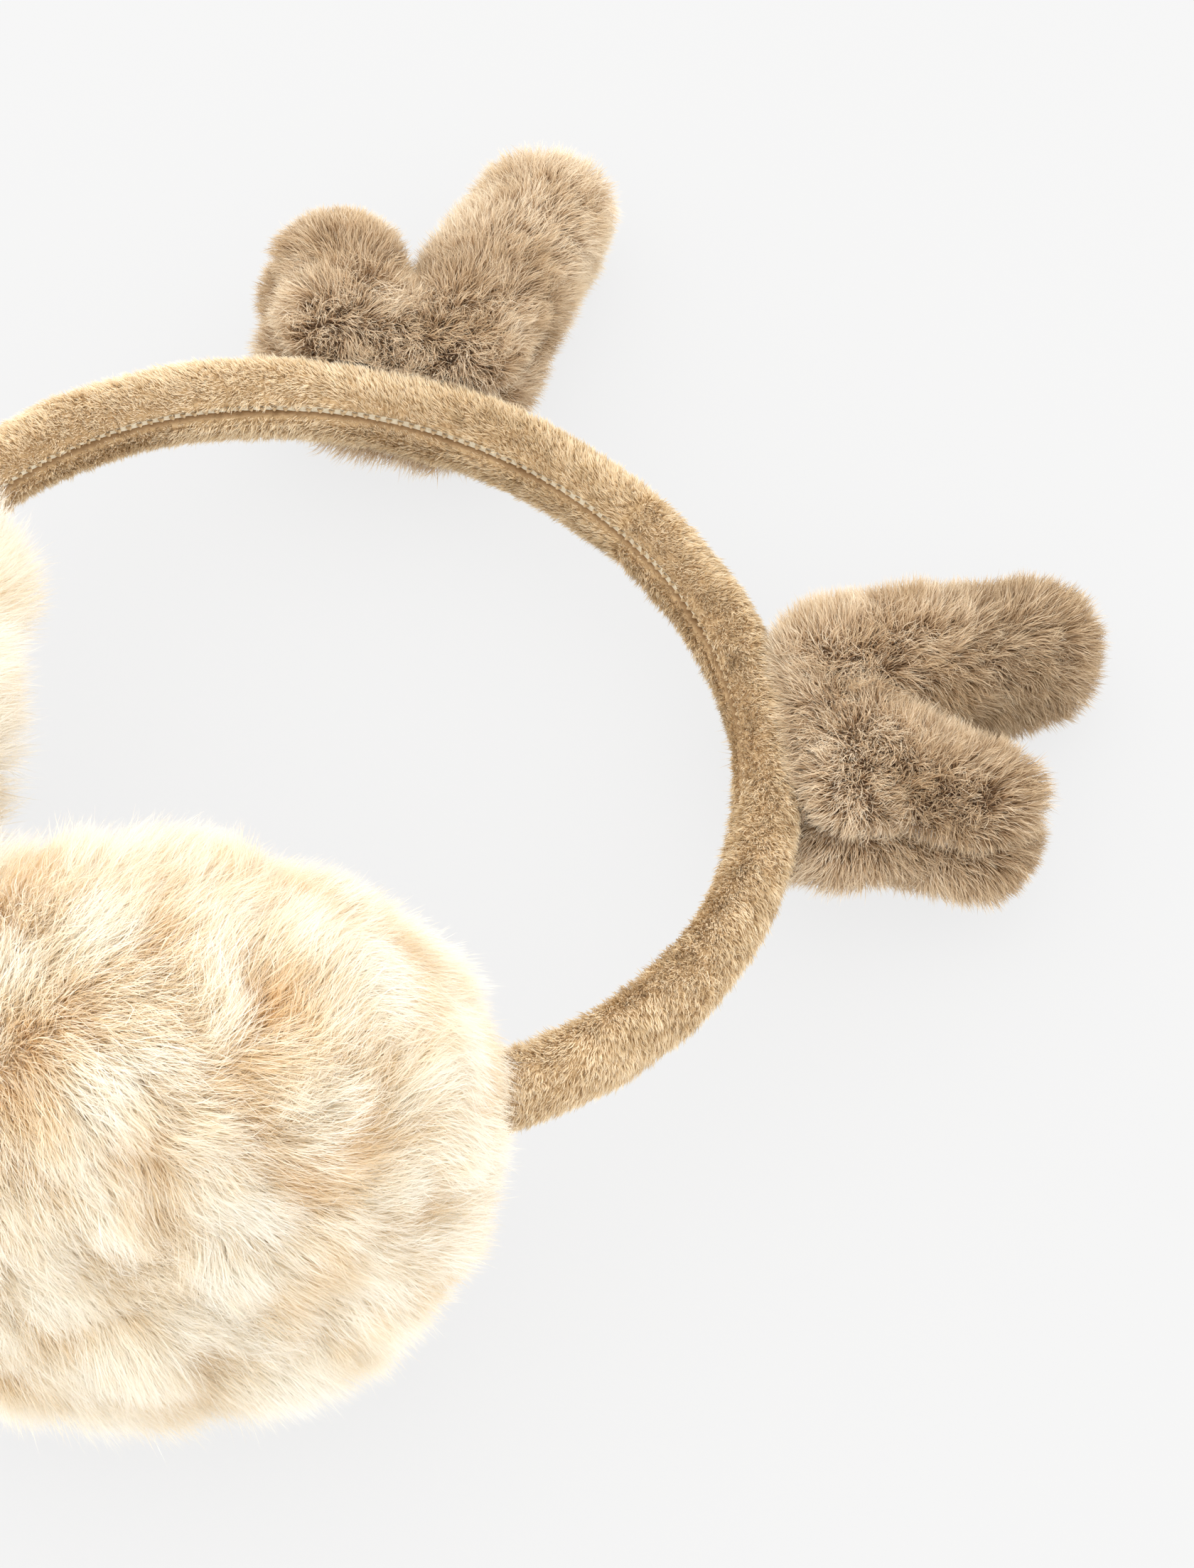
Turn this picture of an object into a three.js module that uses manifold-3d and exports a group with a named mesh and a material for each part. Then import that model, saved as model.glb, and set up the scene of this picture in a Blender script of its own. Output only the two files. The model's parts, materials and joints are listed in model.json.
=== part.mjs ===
// Plush reindeer-antler earmuffs: a sprung band in a velour sleeve, two fur ear muffs on pivots,
// and two stuffed antlers sewn to the crown of the band.
//
// Units are millimetres. The arch frame has its origin on the band's centreline at the crown:
// +X towards the right ear, +Y out of the crown, +Z out of the arch's plane. At the end the whole
// arch is tipped onto a table, so that it rests on the muffs and the antlers with +Z up.
import * as THREE from 'three';
import { mergeVertices } from 'three/addons/utils/BufferGeometryUtils.js';
import Module from 'manifold-3d';

const wasm = await Module();
wasm.setup();

// ---- Driving dimensions -------------------------------------------------------------------------

const GAP = 0.3; // clearance between touching pieces

// Band centreline: a crown arc, then a slightly flatter leg arc on each side.
const CROWN_RADIUS = 82.6;
const CROWN_SWEEP = 88; // degrees of heading from the crown to the leg arc
const LEG_RADIUS = 88.4;
const PIVOT_HEADING = 119; // heading where the centreline reaches the muff pivot
const FLEX_HEADING = 60; // heading where the arm flexes on the crown
const FLEX_GAP = 0.14; // half gap in degrees on each side of the flex line

// The sleeve's section is an oval, thin towards the head and wide out of the arch's plane.
const SLEEVE_HALF_THICKNESS = 6;
const SLEEVE_HALF_WIDTH = 9;
const SLEEVE_WALL = 1.5;
const STRIP_WIDTH = 10;
const STRIP_THICKNESS = 1.1;
const THREAD_RADIUS = 0.4;

// Muff, as a body of revolution about its own axis (0 at the backing disc, + away from the head).
const MUFF_RADIUS = 56;
const MUFF_RIM_OFFSET = 5; // axial place of the widest ring
const MUFF_DOME = 31; // height of the fur dome over the widest ring
const MUFF_TUCK = 28; // how far the fur bulges back towards the head
const MUFF_PRESSED_X = 1.5; // plane where the two muffs press each other flat
const MUFF_OPENING_RADIUS = 38.5;
const FUR_WALL = 9.5;
const FUR_CROWN_WALL = 8;
const PUFF_POWER = 2.3; // above 2 the dome is fuller than an ellipse
const MUFF_HEADING = 127; // heading of the disc's plane
const PIVOT_REACH = 44; // pivot to the middle of the muff
const DISC_RADIUS = 35;
const DISC_THICKNESS = 2.4;
const CLIP_INNER_RADIUS = 27;
const CLIP_OUTER_RADIUS = 32;
const CLIP_HEIGHT = 2.6;
const CLIP_CHAMFER = 1;
const FUR_LIP_OFFSET = -6; // axial place of the fur cover's lip round the ear opening
const EAR_PAD_RADIUS = 35;
const EAR_FACE_OFFSET = -22;
const EAR_FACE_RADIUS = 27;
const EAR_COVER_WALL = 2;
const EAR_COVER_EDGE = -6; // axial place of the ear cover's open edge
const EAR_FOAM_BACK = -5;
const EAR_SHOULDER = [1.8, 3.4]; // the pad's rounded shoulder: in from its side, up from its face
const EAR_ROUNDING = 7; // height over which the pad's face rounds into its side
const ELASTIC_OFFSET = -10; // axial place of the elastic that gathers the fur round the pad

// Pivot between the strip's end and the muff's disc.
const PIN_RADIUS = 1.2;
const PIN_HEAD_RADIUS = 2.3;
const PIN_HEAD_HEIGHT = 1.2;
const KNUCKLE_RADIUS = 3.6;
const KNUCKLE_HALF = 4.5;
const CHEEK = 2;
const SOCKET_NEAR = 4.2; // socket's ends, from the pin
const SOCKET_FAR = 11.5;
const SOCKET_WALL = 1.2;
const SOCKET_THICKNESS = 5;
const SLEEVE_END = 12.5; // the sleeve and foam stop this far from the pin

// Channel through the fur in which the arm swings as the muff swivels.
const SWING_NEAR_HALF = 8;
const SWING_FAR_HALF = 13.6;
const SWING_REACH = 26;
const SWING_CLEARANCE = 0.8;

// Antler, in its own frame: +Y out of the band, +X along the band away from the crown.
const ANTLER_HEADING = 38.5;
const ANTLER_THICKEN = 1.1; // thickness against width of the stuffed limbs
const ANTLER_BASE = { from: [-12, 14], to: [12, 14], radius: 12 };
const ANTLER_LONG_PRONG = { from: [-8, 16], to: [-22.5, 54], radius: 12.3 };
const ANTLER_SHORT_PRONG = { from: [7.5, 15], to: [15, 33], radius: 12.6 };
const ANTLER_SEAT_CLEARANCE = 1.8; // from the sleeve to the hollow in the antler's base
const ANTLER_SEAT_SWEEP = 24; // degrees of heading each side of the antler's middle
const ANTLER_PANEL = 4; // fur and backing together
const ANTLER_SEAM_HALF = 0.5;
const ANTLER_SEAM_DEPTH = [1.5, 3]; // the seam's ring, in from the outside of the fur
const PATCH_THICKNESS = 0.6;
const PATCH_SWEEP = 12; // degrees of heading each side of the antler's middle
const PATCH_WRAP = 25; // degrees round the sleeve's oval each side of straight out

const REST_TILT = 12.04; // degrees that the crown dips, so that muffs and antlers both touch down

const FAR = 200; // beyond every piece, for the blocks that cut them
const OVERCUT = 1; // how far a cutter runs past what it cuts
const ROUND_SIDES = 22;
const LIMB_SIDES = 12;
const TUBE_SIDES = 12;
const THREAD_SIDES = 5;
const ARC_STEP = 6; // degrees of heading per step along the band
const RIGHT = 1;
const LEFT = -1;

// ---- Materials ----------------------------------------------------------------------------------

const material = (color, roughness, metalness = 0) => () =>
  new THREE.MeshStandardMaterial({ color, roughness, metalness });

const MATERIALS = {
  velour: material(0xc6a377, 0.95),
  thread: material(0xd8bf97, 0.8),
  foam: material(0xe9e2d0, 0.9),
  stripPlastic: material(0x2f2f31, 0.5),
  framePlastic: material(0xe6e3dc, 0.45),
  steel: material(0xb9bcc0, 0.3, 1),
  creamFur: material(0xfbecd0, 1),
  creamPlush: material(0xf9ecd6, 1),
  elastic: material(0xf2eee6, 0.85),
  taupeFur: material(0xb99b7d, 1),
  fibrefill: material(0xf6f4ef, 1),
  felt: material(0x9b8063, 1),
};

// ---- Solids -------------------------------------------------------------------------------------

function solidOf(geometry) {
  const bare = geometry.clone();
  bare.deleteAttribute('normal');
  bare.deleteAttribute('uv');
  const merged = mergeVertices(bare, 1e-4);
  return new wasm.Manifold(
    new wasm.Mesh({
      numProp: 3,
      vertProperties: Float32Array.from(merged.attributes.position.array),
      triVerts: Uint32Array.from(merged.index.array),
    }),
  );
}

function geometryOf(solid) {
  const mesh = solid.getMesh();
  const geometry = new THREE.BufferGeometry();
  geometry.setAttribute('position', new THREE.BufferAttribute(mesh.vertProperties, 3));
  geometry.setIndex(new THREE.BufferAttribute(mesh.triVerts, 1));
  return geometry;
}

function joined(geometries) {
  return geometries.map(solidOf).reduce((a, b) => a.add(b));
}

function boxBetween(low, high) {
  const size = high.map((v, i) => v - low[i]);
  const middle = high.map((v, i) => (v + low[i]) / 2);
  return new THREE.BoxGeometry(...size).translate(...middle);
}

/** A cylinder along Z, from z0 to z1. */
function cylinderZ(radius, z0, z1, sides = LIMB_SIDES) {
  const length = z1 - z0;
  return new THREE.CylinderGeometry(radius, radius, length, sides)
    .rotateX(Math.PI / 2)
    .translate(0, 0, z0 + length / 2);
}

/** A body of revolution about X, from [radius, axial] pairs that start and end on the axis or close. */
function turned(profile, sides = ROUND_SIDES) {
  const points = profile.map(([radius, axial]) => new THREE.Vector2(radius, axial));
  return new THREE.LatheGeometry(points, sides).rotateZ(-Math.PI / 2);
}

/** The mirror image across the plane X = 0, with its faces still pointing out. */
function mirrored(geometry) {
  const copy = (geometry.index ? geometry : mergeVertices(geometry)).clone();
  copy.deleteAttribute('normal');
  copy.deleteAttribute('uv');
  const position = copy.attributes.position;
  for (let i = 0; i < position.count; i += 1) position.setX(i, -position.getX(i));
  const index = copy.index;
  for (let i = 0; i < index.count; i += 3) {
    const second = index.getX(i + 1);
    index.setX(i + 1, index.getX(i + 2));
    index.setX(i + 2, second);
  }
  return copy;
}

// ---- Band path ----------------------------------------------------------------------------------

const radians = THREE.MathUtils.degToRad;

/** Unit vector along the band at a heading, measured clockwise from +X. */
function alongBand(heading) {
  return new THREE.Vector3(Math.cos(radians(heading)), -Math.sin(radians(heading)), 0);
}

/** Unit vector out of the arch at a heading. */
function outOfArch(heading) {
  return new THREE.Vector3(Math.sin(radians(heading)), Math.cos(radians(heading)), 0);
}

/** Point on the band's centreline; negative headings are the left half. */
function bandPoint(heading) {
  const turn = Math.abs(heading);
  const side = heading < 0 ? LEFT : RIGHT;
  const onCrown = Math.min(turn, CROWN_SWEEP);
  const point = outOfArch(onCrown).multiplyScalar(CROWN_RADIUS);
  point.y -= CROWN_RADIUS;
  if (turn > CROWN_SWEEP) {
    const leg = outOfArch(turn).sub(outOfArch(CROWN_SWEEP));
    point.addScaledVector(leg, LEG_RADIUS);
  }
  point.x *= side;
  return point;
}

class BandCurve extends THREE.Curve {
  constructor(fromHeading, toHeading, outset = 0) {
    super();
    this.fromHeading = fromHeading;
    this.toHeading = toHeading;
    this.outset = outset;
  }

  getPoint(t) {
    const heading = THREE.MathUtils.lerp(this.fromHeading, this.toHeading, t);
    return bandPoint(heading).addScaledVector(outOfArch(heading), this.outset);
  }

  getPointAt(t) {
    return this.getPoint(t);
  }

  getTangentAt(t) {
    return alongBand(THREE.MathUtils.lerp(this.fromHeading, this.toHeading, t));
  }
}

function alongPath(shape, fromHeading, toHeading, outset = 0, sides = TUBE_SIDES) {
  const steps = Math.max(2, Math.ceil(Math.abs(toHeading - fromHeading) / ARC_STEP));
  return new THREE.ExtrudeGeometry(shape, {
    steps,
    curveSegments: sides,
    extrudePath: new BandCurve(fromHeading, toHeading, outset),
  });
}

// Sections across the band: x is out of the arch's plane, y across the strip's thickness.

function oval(halfWidth, halfThickness, sides = TUBE_SIDES) {
  const points = [];
  for (let i = 0; i < sides; i += 1) {
    const angle = (2 * Math.PI * i) / sides;
    points.push(new THREE.Vector2(halfWidth * Math.cos(angle), halfThickness * Math.sin(angle)));
  }
  return points;
}

/** The sleeve's oval, grown by an outset or drawn in by a negative one. */
function sleeveOval(outset) {
  return oval(SLEEVE_HALF_WIDTH + outset, SLEEVE_HALF_THICKNESS + outset);
}

function rectangle(width, thickness) {
  const x = width / 2;
  const y = thickness / 2;
  return [[-x, -y], [x, -y], [x, y], [-x, y]].map(([px, py]) => new THREE.Vector2(px, py));
}

function section(outline, hole) {
  const shape = new THREE.Shape(outline);
  if (hole) shape.holes.push(new THREE.Path(hole));
  return shape;
}

/** Heading that lies a given length before the pivot, on the leg arc. */
function headingBeforePivot(length) {
  return PIVOT_HEADING - THREE.MathUtils.radToDeg(length / LEG_RADIUS);
}

const PIVOT_POINT = bandPoint(PIVOT_HEADING);
const MUFF_CENTRE = PIVOT_POINT.clone().addScaledVector(alongBand(MUFF_HEADING), PIVOT_REACH);

/** Frame whose +Y points back along a heading, and whose +X points out of the arch. */
function headingFrame(heading, origin) {
  return new THREE.Matrix4()
    .makeBasis(outOfArch(heading), alongBand(heading).negate(), new THREE.Vector3(0, 0, 1))
    .setPosition(origin);
}

// ---- Band pieces --------------------------------------------------------------------------------

const stripSection = section(rectangle(STRIP_WIDTH, STRIP_THICKNESS));
const foamSection = section(
  sleeveOval(-SLEEVE_WALL - GAP),
  rectangle(STRIP_WIDTH + 2 * GAP, STRIP_THICKNESS + 2 * GAP),
);
const sleeveSection = section(sleeveOval(0), sleeveOval(-SLEEVE_WALL));
const threadSection = section(oval(THREAD_RADIUS, THREAD_RADIUS, THREAD_SIDES));
const threadOutset = -(SLEEVE_HALF_THICKNESS + GAP + THREAD_RADIUS);

function bandPieces(name, from, sleeveTo, stripTo) {
  return {
    [`spring_strip_${name}`]: [alongPath(stripSection, from, stripTo), MATERIALS.stripPlastic],
    [`foam_wrap_${name}`]: [alongPath(foamSection, from, sleeveTo), MATERIALS.foam],
    [`plush_sleeve_${name}`]: [alongPath(sleeveSection, from, sleeveTo), MATERIALS.velour],
    [`sleeve_seam_thread_${name}`]: [
      alongPath(threadSection, from, sleeveTo, threadOutset),
      MATERIALS.thread,
    ],
  };
}

// ---- Muff pieces, in the right muff's frame: +X out of the ear, +Y towards the pivot -------------

/** Points of a quarter of a super-ellipse, from the widest ring up to the pole. */
function puffedQuarter(radius, height, steps) {
  const points = [];
  for (let i = 0; i <= steps; i += 1) {
    const angle = (i / steps) * (Math.PI / 2);
    points.push([
      radius * Math.cos(angle) ** (2 / PUFF_POWER),
      MUFF_RIM_OFFSET + height * Math.sin(angle) ** (2 / PUFF_POWER),
    ]);
  }
  points[steps][0] = 0;
  return points;
}

function tuckedQuarter(steps) {
  const points = [];
  for (let i = 0; i < steps; i += 1) {
    const angle = ((steps - i) / steps) * (Math.PI / 2);
    points.push([
      MUFF_OPENING_RADIUS + (MUFF_RADIUS - MUFF_OPENING_RADIUS) * Math.cos(angle) ** (2 / PUFF_POWER),
      MUFF_RIM_OFFSET - MUFF_TUCK * Math.sin(angle) ** (2 / PUFF_POWER),
    ]);
  }
  return points;
}

/** Wedge that the arm sweeps in the muff as the muff swivels, plus room round it. */
function swingChannel() {
  const start = PIVOT_REACH - KNUCKLE_RADIUS;
  const outline = new THREE.Shape([
    new THREE.Vector2(-SWING_NEAR_HALF, start),
    new THREE.Vector2(SWING_NEAR_HALF, start),
    new THREE.Vector2(SWING_FAR_HALF, PIVOT_REACH + SWING_REACH),
    new THREE.Vector2(-SWING_FAR_HALF, PIVOT_REACH + SWING_REACH),
  ]);
  const half = SLEEVE_HALF_WIDTH + SWING_CLEARANCE;
  const wedge = new THREE.ExtrudeGeometry(outline, { depth: 2 * half, bevelEnabled: false });
  return wedge.translate(0, 0, -half);
}

/** The space past the plane where the muffs press each other, in the muff's frame. */
function otherMuff() {
  return boxBetween([-FAR, -FAR, -FAR], [MUFF_PRESSED_X, FAR, FAR]).applyMatrix4(
    headingFrame(MUFF_HEADING, MUFF_CENTRE).invert(),
  );
}

function furCover() {
  const cavityRadius = MUFF_RADIUS - FUR_WALL;
  const cavity = puffedQuarter(cavityRadius, MUFF_DOME - FUR_CROWN_WALL, 6).reverse();
  const outside = [...tuckedQuarter(4), ...puffedQuarter(MUFF_RADIUS, MUFF_DOME, 8)];
  const lip = [[cavityRadius, 0], [MUFF_OPENING_RADIUS, FUR_LIP_OFFSET]];
  const whole = solidOf(turned([...outside, ...cavity, ...lip, outside[0]]));
  return geometryOf(whole.subtract(solidOf(swingChannel())).subtract(solidOf(otherMuff())));
}

function fibrefill() {
  const radius = MUFF_RADIUS - FUR_WALL - GAP;
  const dome = puffedQuarter(radius, MUFF_DOME - FUR_CROWN_WALL - GAP, 6);
  const seat = DISC_THICKNESS / 2 + GAP;
  return turned([[0, seat], [DISC_RADIUS + 1, seat], [DISC_RADIUS + 2, MUFF_RIM_OFFSET], ...dome]);
}

function backingDisc() {
  const half = DISC_THICKNESS / 2;
  const plate = turned([[0, -half], [DISC_RADIUS, -half], [DISC_RADIUS, half], [0, half]]);
  const lug = boxBetween([-half, DISC_RADIUS - 3, -KNUCKLE_HALF], [half, PIVOT_REACH, KNUCKLE_HALF]);
  const knuckle = cylinderZ(KNUCKLE_RADIUS, -KNUCKLE_HALF, KNUCKLE_HALF).translate(0, PIVOT_REACH, 0);
  const boreHalf = KNUCKLE_HALF + OVERCUT;
  const bore = cylinderZ(PIN_RADIUS + GAP, -boreHalf, boreHalf).translate(0, PIVOT_REACH, 0);
  return geometryOf(joined([plate, lug, knuckle]).subtract(solidOf(bore)));
}

function clipRing() {
  const top = -DISC_THICKNESS / 2 - GAP;
  const bottom = top - CLIP_HEIGHT;
  const start = [CLIP_INNER_RADIUS, bottom];
  return turned([
    start,
    [CLIP_OUTER_RADIUS - CLIP_CHAMFER, bottom],
    [CLIP_OUTER_RADIUS, bottom + CLIP_CHAMFER],
    [CLIP_OUTER_RADIUS, top],
    [CLIP_INNER_RADIUS, top],
    start,
  ]);
}

function earFoam() {
  const face = EAR_FACE_OFFSET + EAR_COVER_WALL + GAP;
  const radius = EAR_PAD_RADIUS - EAR_COVER_WALL - 2 * GAP;
  return turned([
    [0, face],
    [radius - EAR_ROUNDING, face],
    [radius - EAR_SHOULDER[0], face + EAR_SHOULDER[1]],
    [radius, face + EAR_ROUNDING],
    [radius, EAR_FOAM_BACK],
    [0, EAR_FOAM_BACK],
  ]);
}

function earCover() {
  const wall = EAR_COVER_WALL;
  const skin = (inset) => [
    [0, EAR_FACE_OFFSET + inset],
    [EAR_FACE_RADIUS - 0.7 * inset, EAR_FACE_OFFSET + inset],
    [EAR_PAD_RADIUS - EAR_SHOULDER[0] - 0.8 * inset, EAR_FACE_OFFSET + EAR_SHOULDER[1] + 0.7 * inset],
    [EAR_PAD_RADIUS - inset, EAR_FACE_OFFSET + EAR_ROUNDING + 0.5 * inset],
    [EAR_PAD_RADIUS - inset, EAR_COVER_EDGE],
  ];
  return turned([...skin(0), ...skin(wall).reverse()]);
}

function gatherElastic() {
  const ring = (EAR_PAD_RADIUS + MUFF_OPENING_RADIUS) / 2;
  const thickness = (MUFF_OPENING_RADIUS - EAR_PAD_RADIUS) / 2 - GAP;
  const torus = new THREE.TorusGeometry(ring, thickness, THREAD_SIDES, ROUND_SIDES);
  return torus.rotateY(Math.PI / 2).translate(ELASTIC_OFFSET, 0, 0);
}

function muffPieces() {
  return {
    muff_backing_disc: [backingDisc(), MATERIALS.framePlastic],
    muff_clip_ring: [clipRing(), MATERIALS.framePlastic],
    muff_ear_foam: [earFoam(), MATERIALS.foam],
    muff_ear_cover: [earCover(), MATERIALS.creamPlush],
    muff_fibrefill: [fibrefill(), MATERIALS.fibrefill],
    muff_fur_cover: [furCover(), MATERIALS.creamFur],
    muff_gather_elastic: [gatherElastic(), MATERIALS.elastic],
  };
}

// ---- Pivot pieces, in the pivot's frame: +Y back along the arm, Z along the pin ------------------

function stripYoke() {
  const inner = KNUCKLE_HALF + GAP;
  const outer = inner + CHEEK;
  const half = SOCKET_THICKNESS / 2;
  const cheeks = [[inner, outer], [-outer, -inner]].flatMap(([z0, z1]) => [
    cylinderZ(KNUCKLE_RADIUS, z0, z1),
    boxBetween([-half, 0, z0], [half, SOCKET_NEAR + OVERCUT, z1]),
  ]);
  const socket = boxBetween([-half, SOCKET_NEAR, -outer], [half, SOCKET_FAR, outer]);
  const slot = alongPath(
    section(rectangle(STRIP_WIDTH + 2 * GAP, STRIP_THICKNESS + 2 * GAP)),
    headingBeforePivot(SOCKET_FAR + OVERCUT),
    headingBeforePivot(SOCKET_NEAR + SOCKET_WALL),
  ).applyMatrix4(headingFrame(PIVOT_HEADING, PIVOT_POINT).invert());
  const bore = cylinderZ(PIN_RADIUS + GAP, -outer - OVERCUT, outer + OVERCUT);
  return geometryOf(joined([...cheeks, socket]).subtract(solidOf(slot)).subtract(solidOf(bore)));
}

const cheekFace = KNUCKLE_HALF + GAP + CHEEK;
const pinEnd = cheekFace + GAP + PIN_HEAD_HEIGHT;

function pivotPin() {
  return geometryOf(
    joined([
      cylinderZ(PIN_RADIUS, -pinEnd, cheekFace + GAP + PIN_HEAD_HEIGHT / 2),
      cylinderZ(PIN_HEAD_RADIUS, cheekFace + GAP, pinEnd),
    ]),
  );
}

function pinCap() {
  const cap = solidOf(cylinderZ(PIN_HEAD_RADIUS, -pinEnd, -cheekFace - GAP));
  const bore = solidOf(cylinderZ(PIN_RADIUS + GAP, -pinEnd - OVERCUT, -cheekFace));
  return geometryOf(cap.subtract(bore));
}

function pivotPieces() {
  return {
    strip_yoke: [stripYoke(), MATERIALS.framePlastic],
    pivot_pin: [pivotPin(), MATERIALS.steel],
    pin_cap: [pinCap(), MATERIALS.framePlastic],
  };
}

// ---- Antler pieces, in the right antler's frame --------------------------------------------------

/** A stuffed limb: a capsule from one point to another, a little thicker than it is wide. */
function limb({ from, to, radius }, inset) {
  const length = Math.hypot(to[0] - from[0], to[1] - from[1]);
  const r = radius - inset;
  const profile = [];
  const steps = 3;
  for (let i = 0; i <= 2 * steps + 1; i += 1) {
    const upper = i > steps;
    const angle = (((upper ? i - 1 : i) / steps) * Math.PI) / 2 - Math.PI / 2;
    profile.push(new THREE.Vector2(r * Math.cos(angle), r * Math.sin(angle) + (upper ? length : 0)));
  }
  profile[0].x = 0;
  profile[profile.length - 1].x = 0;
  return new THREE.LatheGeometry(profile, LIMB_SIDES)
    .rotateZ(Math.atan2(to[1] - from[1], to[0] - from[0]) - Math.PI / 2)
    .scale(1, 1, (ANTLER_THICKEN * radius - inset) / r)
    .translate(from[0], from[1], 0);
}

/** Frame of the antler's base: the antler's axes in the arch frame. */
function antlerFrame() {
  return new THREE.Matrix4()
    .makeBasis(alongBand(ANTLER_HEADING), outOfArch(ANTLER_HEADING), new THREE.Vector3(0, 0, 1))
    .setPosition(bandPoint(ANTLER_HEADING));
}

/** The stuffed antler drawn in by an inset, with its base hollowed to sit round the band. */
function antlerBody(inset) {
  const limbs = [ANTLER_BASE, ANTLER_LONG_PRONG, ANTLER_SHORT_PRONG];
  const body = joined(limbs.map((spec) => limb(spec, inset)));
  const seat = alongPath(
    section(sleeveOval(ANTLER_SEAT_CLEARANCE + inset)),
    ANTLER_HEADING - ANTLER_SEAT_SWEEP,
    ANTLER_HEADING + ANTLER_SEAT_SWEEP,
  ).applyMatrix4(antlerFrame().invert());
  return body.subtract(solidOf(seat));
}

/** Everything between two heights in the antler's frame. */
function slab(low, high) {
  return solidOf(boxBetween([-FAR, -FAR, low], [FAR, FAR, high]));
}

function antlerPieces() {
  const outside = antlerBody(0);
  const fur = outside.subtract(antlerBody(ANTLER_PANEL));
  const seamRing = antlerBody(ANTLER_SEAM_DEPTH[0]).subtract(antlerBody(ANTLER_SEAM_DEPTH[1]));
  const parting = ANTLER_SEAM_HALF + GAP;
  return {
    antler_upper_panel: [geometryOf(fur.intersect(slab(parting, FAR))), MATERIALS.taupeFur],
    antler_lower_panel: [geometryOf(fur.intersect(slab(-FAR, -parting))), MATERIALS.taupeFur],
    antler_seam: [
      geometryOf(seamRing.intersect(slab(-ANTLER_SEAM_HALF, ANTLER_SEAM_HALF))),
      MATERIALS.thread,
    ],
    antler_stuffing: [geometryOf(antlerBody(ANTLER_PANEL + GAP)), MATERIALS.fibrefill],
  };
}

/** Felt patch on the outside of the sleeve, to which the antler is sewn. */
function antlerPatch() {
  const points = [];
  const steps = 5;
  for (const [outset, order] of [[GAP, 1], [GAP + PATCH_THICKNESS, -1]]) {
    const x = SLEEVE_HALF_WIDTH + outset;
    const y = SLEEVE_HALF_THICKNESS + outset;
    for (let i = 0; i <= steps; i += 1) {
      const share = (2 * i) / steps - 1;
      const angle = radians(90 + order * share * PATCH_WRAP);
      points.push(new THREE.Vector2(x * Math.cos(angle), y * Math.sin(angle)));
    }
  }
  return alongPath(
    new THREE.Shape(points),
    ANTLER_HEADING - PATCH_SWEEP,
    ANTLER_HEADING + PATCH_SWEEP,
  );
}

// ---- Assembly -----------------------------------------------------------------------------------

const arch = new THREE.Group();

function addMesh(name, geometry, makeMaterial) {
  const mesh = new THREE.Mesh(geometry, makeMaterial());
  mesh.name = name;
  arch.add(mesh);
}

function addPair(pieces, frame) {
  for (const [name, [geometry, makeMaterial]] of Object.entries(pieces)) {
    const placed = geometry.clone().applyMatrix4(frame);
    addMesh(`${name}_right`, placed, makeMaterial);
    addMesh(`${name}_left`, mirrored(placed), makeMaterial);
  }
}

const crownEnd = FLEX_HEADING - FLEX_GAP;
for (const [name, piece] of Object.entries(bandPieces('crown', -crownEnd, crownEnd, crownEnd))) {
  addMesh(name, ...piece);
}

const armPieces = bandPieces(
  'arm',
  FLEX_HEADING + FLEX_GAP,
  headingBeforePivot(SLEEVE_END),
  headingBeforePivot(SOCKET_NEAR + SOCKET_WALL + GAP),
);
addPair(armPieces, new THREE.Matrix4());
addPair(pivotPieces(), headingFrame(PIVOT_HEADING, PIVOT_POINT));
addPair(muffPieces(), headingFrame(MUFF_HEADING, MUFF_CENTRE));
addPair(antlerPieces(), antlerFrame());
addPair({ antler_base_patch: [antlerPatch(), MATERIALS.felt] }, new THREE.Matrix4());

const earmuffs = new THREE.Group();
arch.rotation.x = -radians(REST_TILT);
earmuffs.add(arch);
earmuffs.updateMatrixWorld(true);

const box = new THREE.Box3().setFromObject(arch, true);
const centre = box.getCenter(new THREE.Vector3());
arch.position.set(-centre.x, -centre.y, -box.min.z);

export default earmuffs;
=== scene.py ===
"""Looks of the plush antler earmuffs: a velour band, fur muffs and stuffed fur antlers."""
import json
import math

import bmesh
import bpy
import numpy as np
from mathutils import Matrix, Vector
from mathutils.kdtree import KDTree


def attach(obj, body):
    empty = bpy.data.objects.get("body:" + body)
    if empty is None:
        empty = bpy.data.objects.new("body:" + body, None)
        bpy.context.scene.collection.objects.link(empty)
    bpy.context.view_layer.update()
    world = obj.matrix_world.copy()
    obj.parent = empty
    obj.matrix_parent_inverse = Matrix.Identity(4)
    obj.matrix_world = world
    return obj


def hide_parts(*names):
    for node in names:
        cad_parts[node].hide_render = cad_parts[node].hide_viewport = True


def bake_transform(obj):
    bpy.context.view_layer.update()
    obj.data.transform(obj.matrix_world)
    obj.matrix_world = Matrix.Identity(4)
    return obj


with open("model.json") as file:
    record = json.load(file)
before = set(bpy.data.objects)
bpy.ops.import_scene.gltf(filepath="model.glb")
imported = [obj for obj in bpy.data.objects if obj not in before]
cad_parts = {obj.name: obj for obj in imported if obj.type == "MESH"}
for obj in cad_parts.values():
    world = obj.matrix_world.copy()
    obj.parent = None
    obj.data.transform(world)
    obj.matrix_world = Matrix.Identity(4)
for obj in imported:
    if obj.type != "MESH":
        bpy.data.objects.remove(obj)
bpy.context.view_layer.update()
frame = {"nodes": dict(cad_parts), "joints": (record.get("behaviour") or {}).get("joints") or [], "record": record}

# ---- Sizes, in metres and degrees ----

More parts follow.
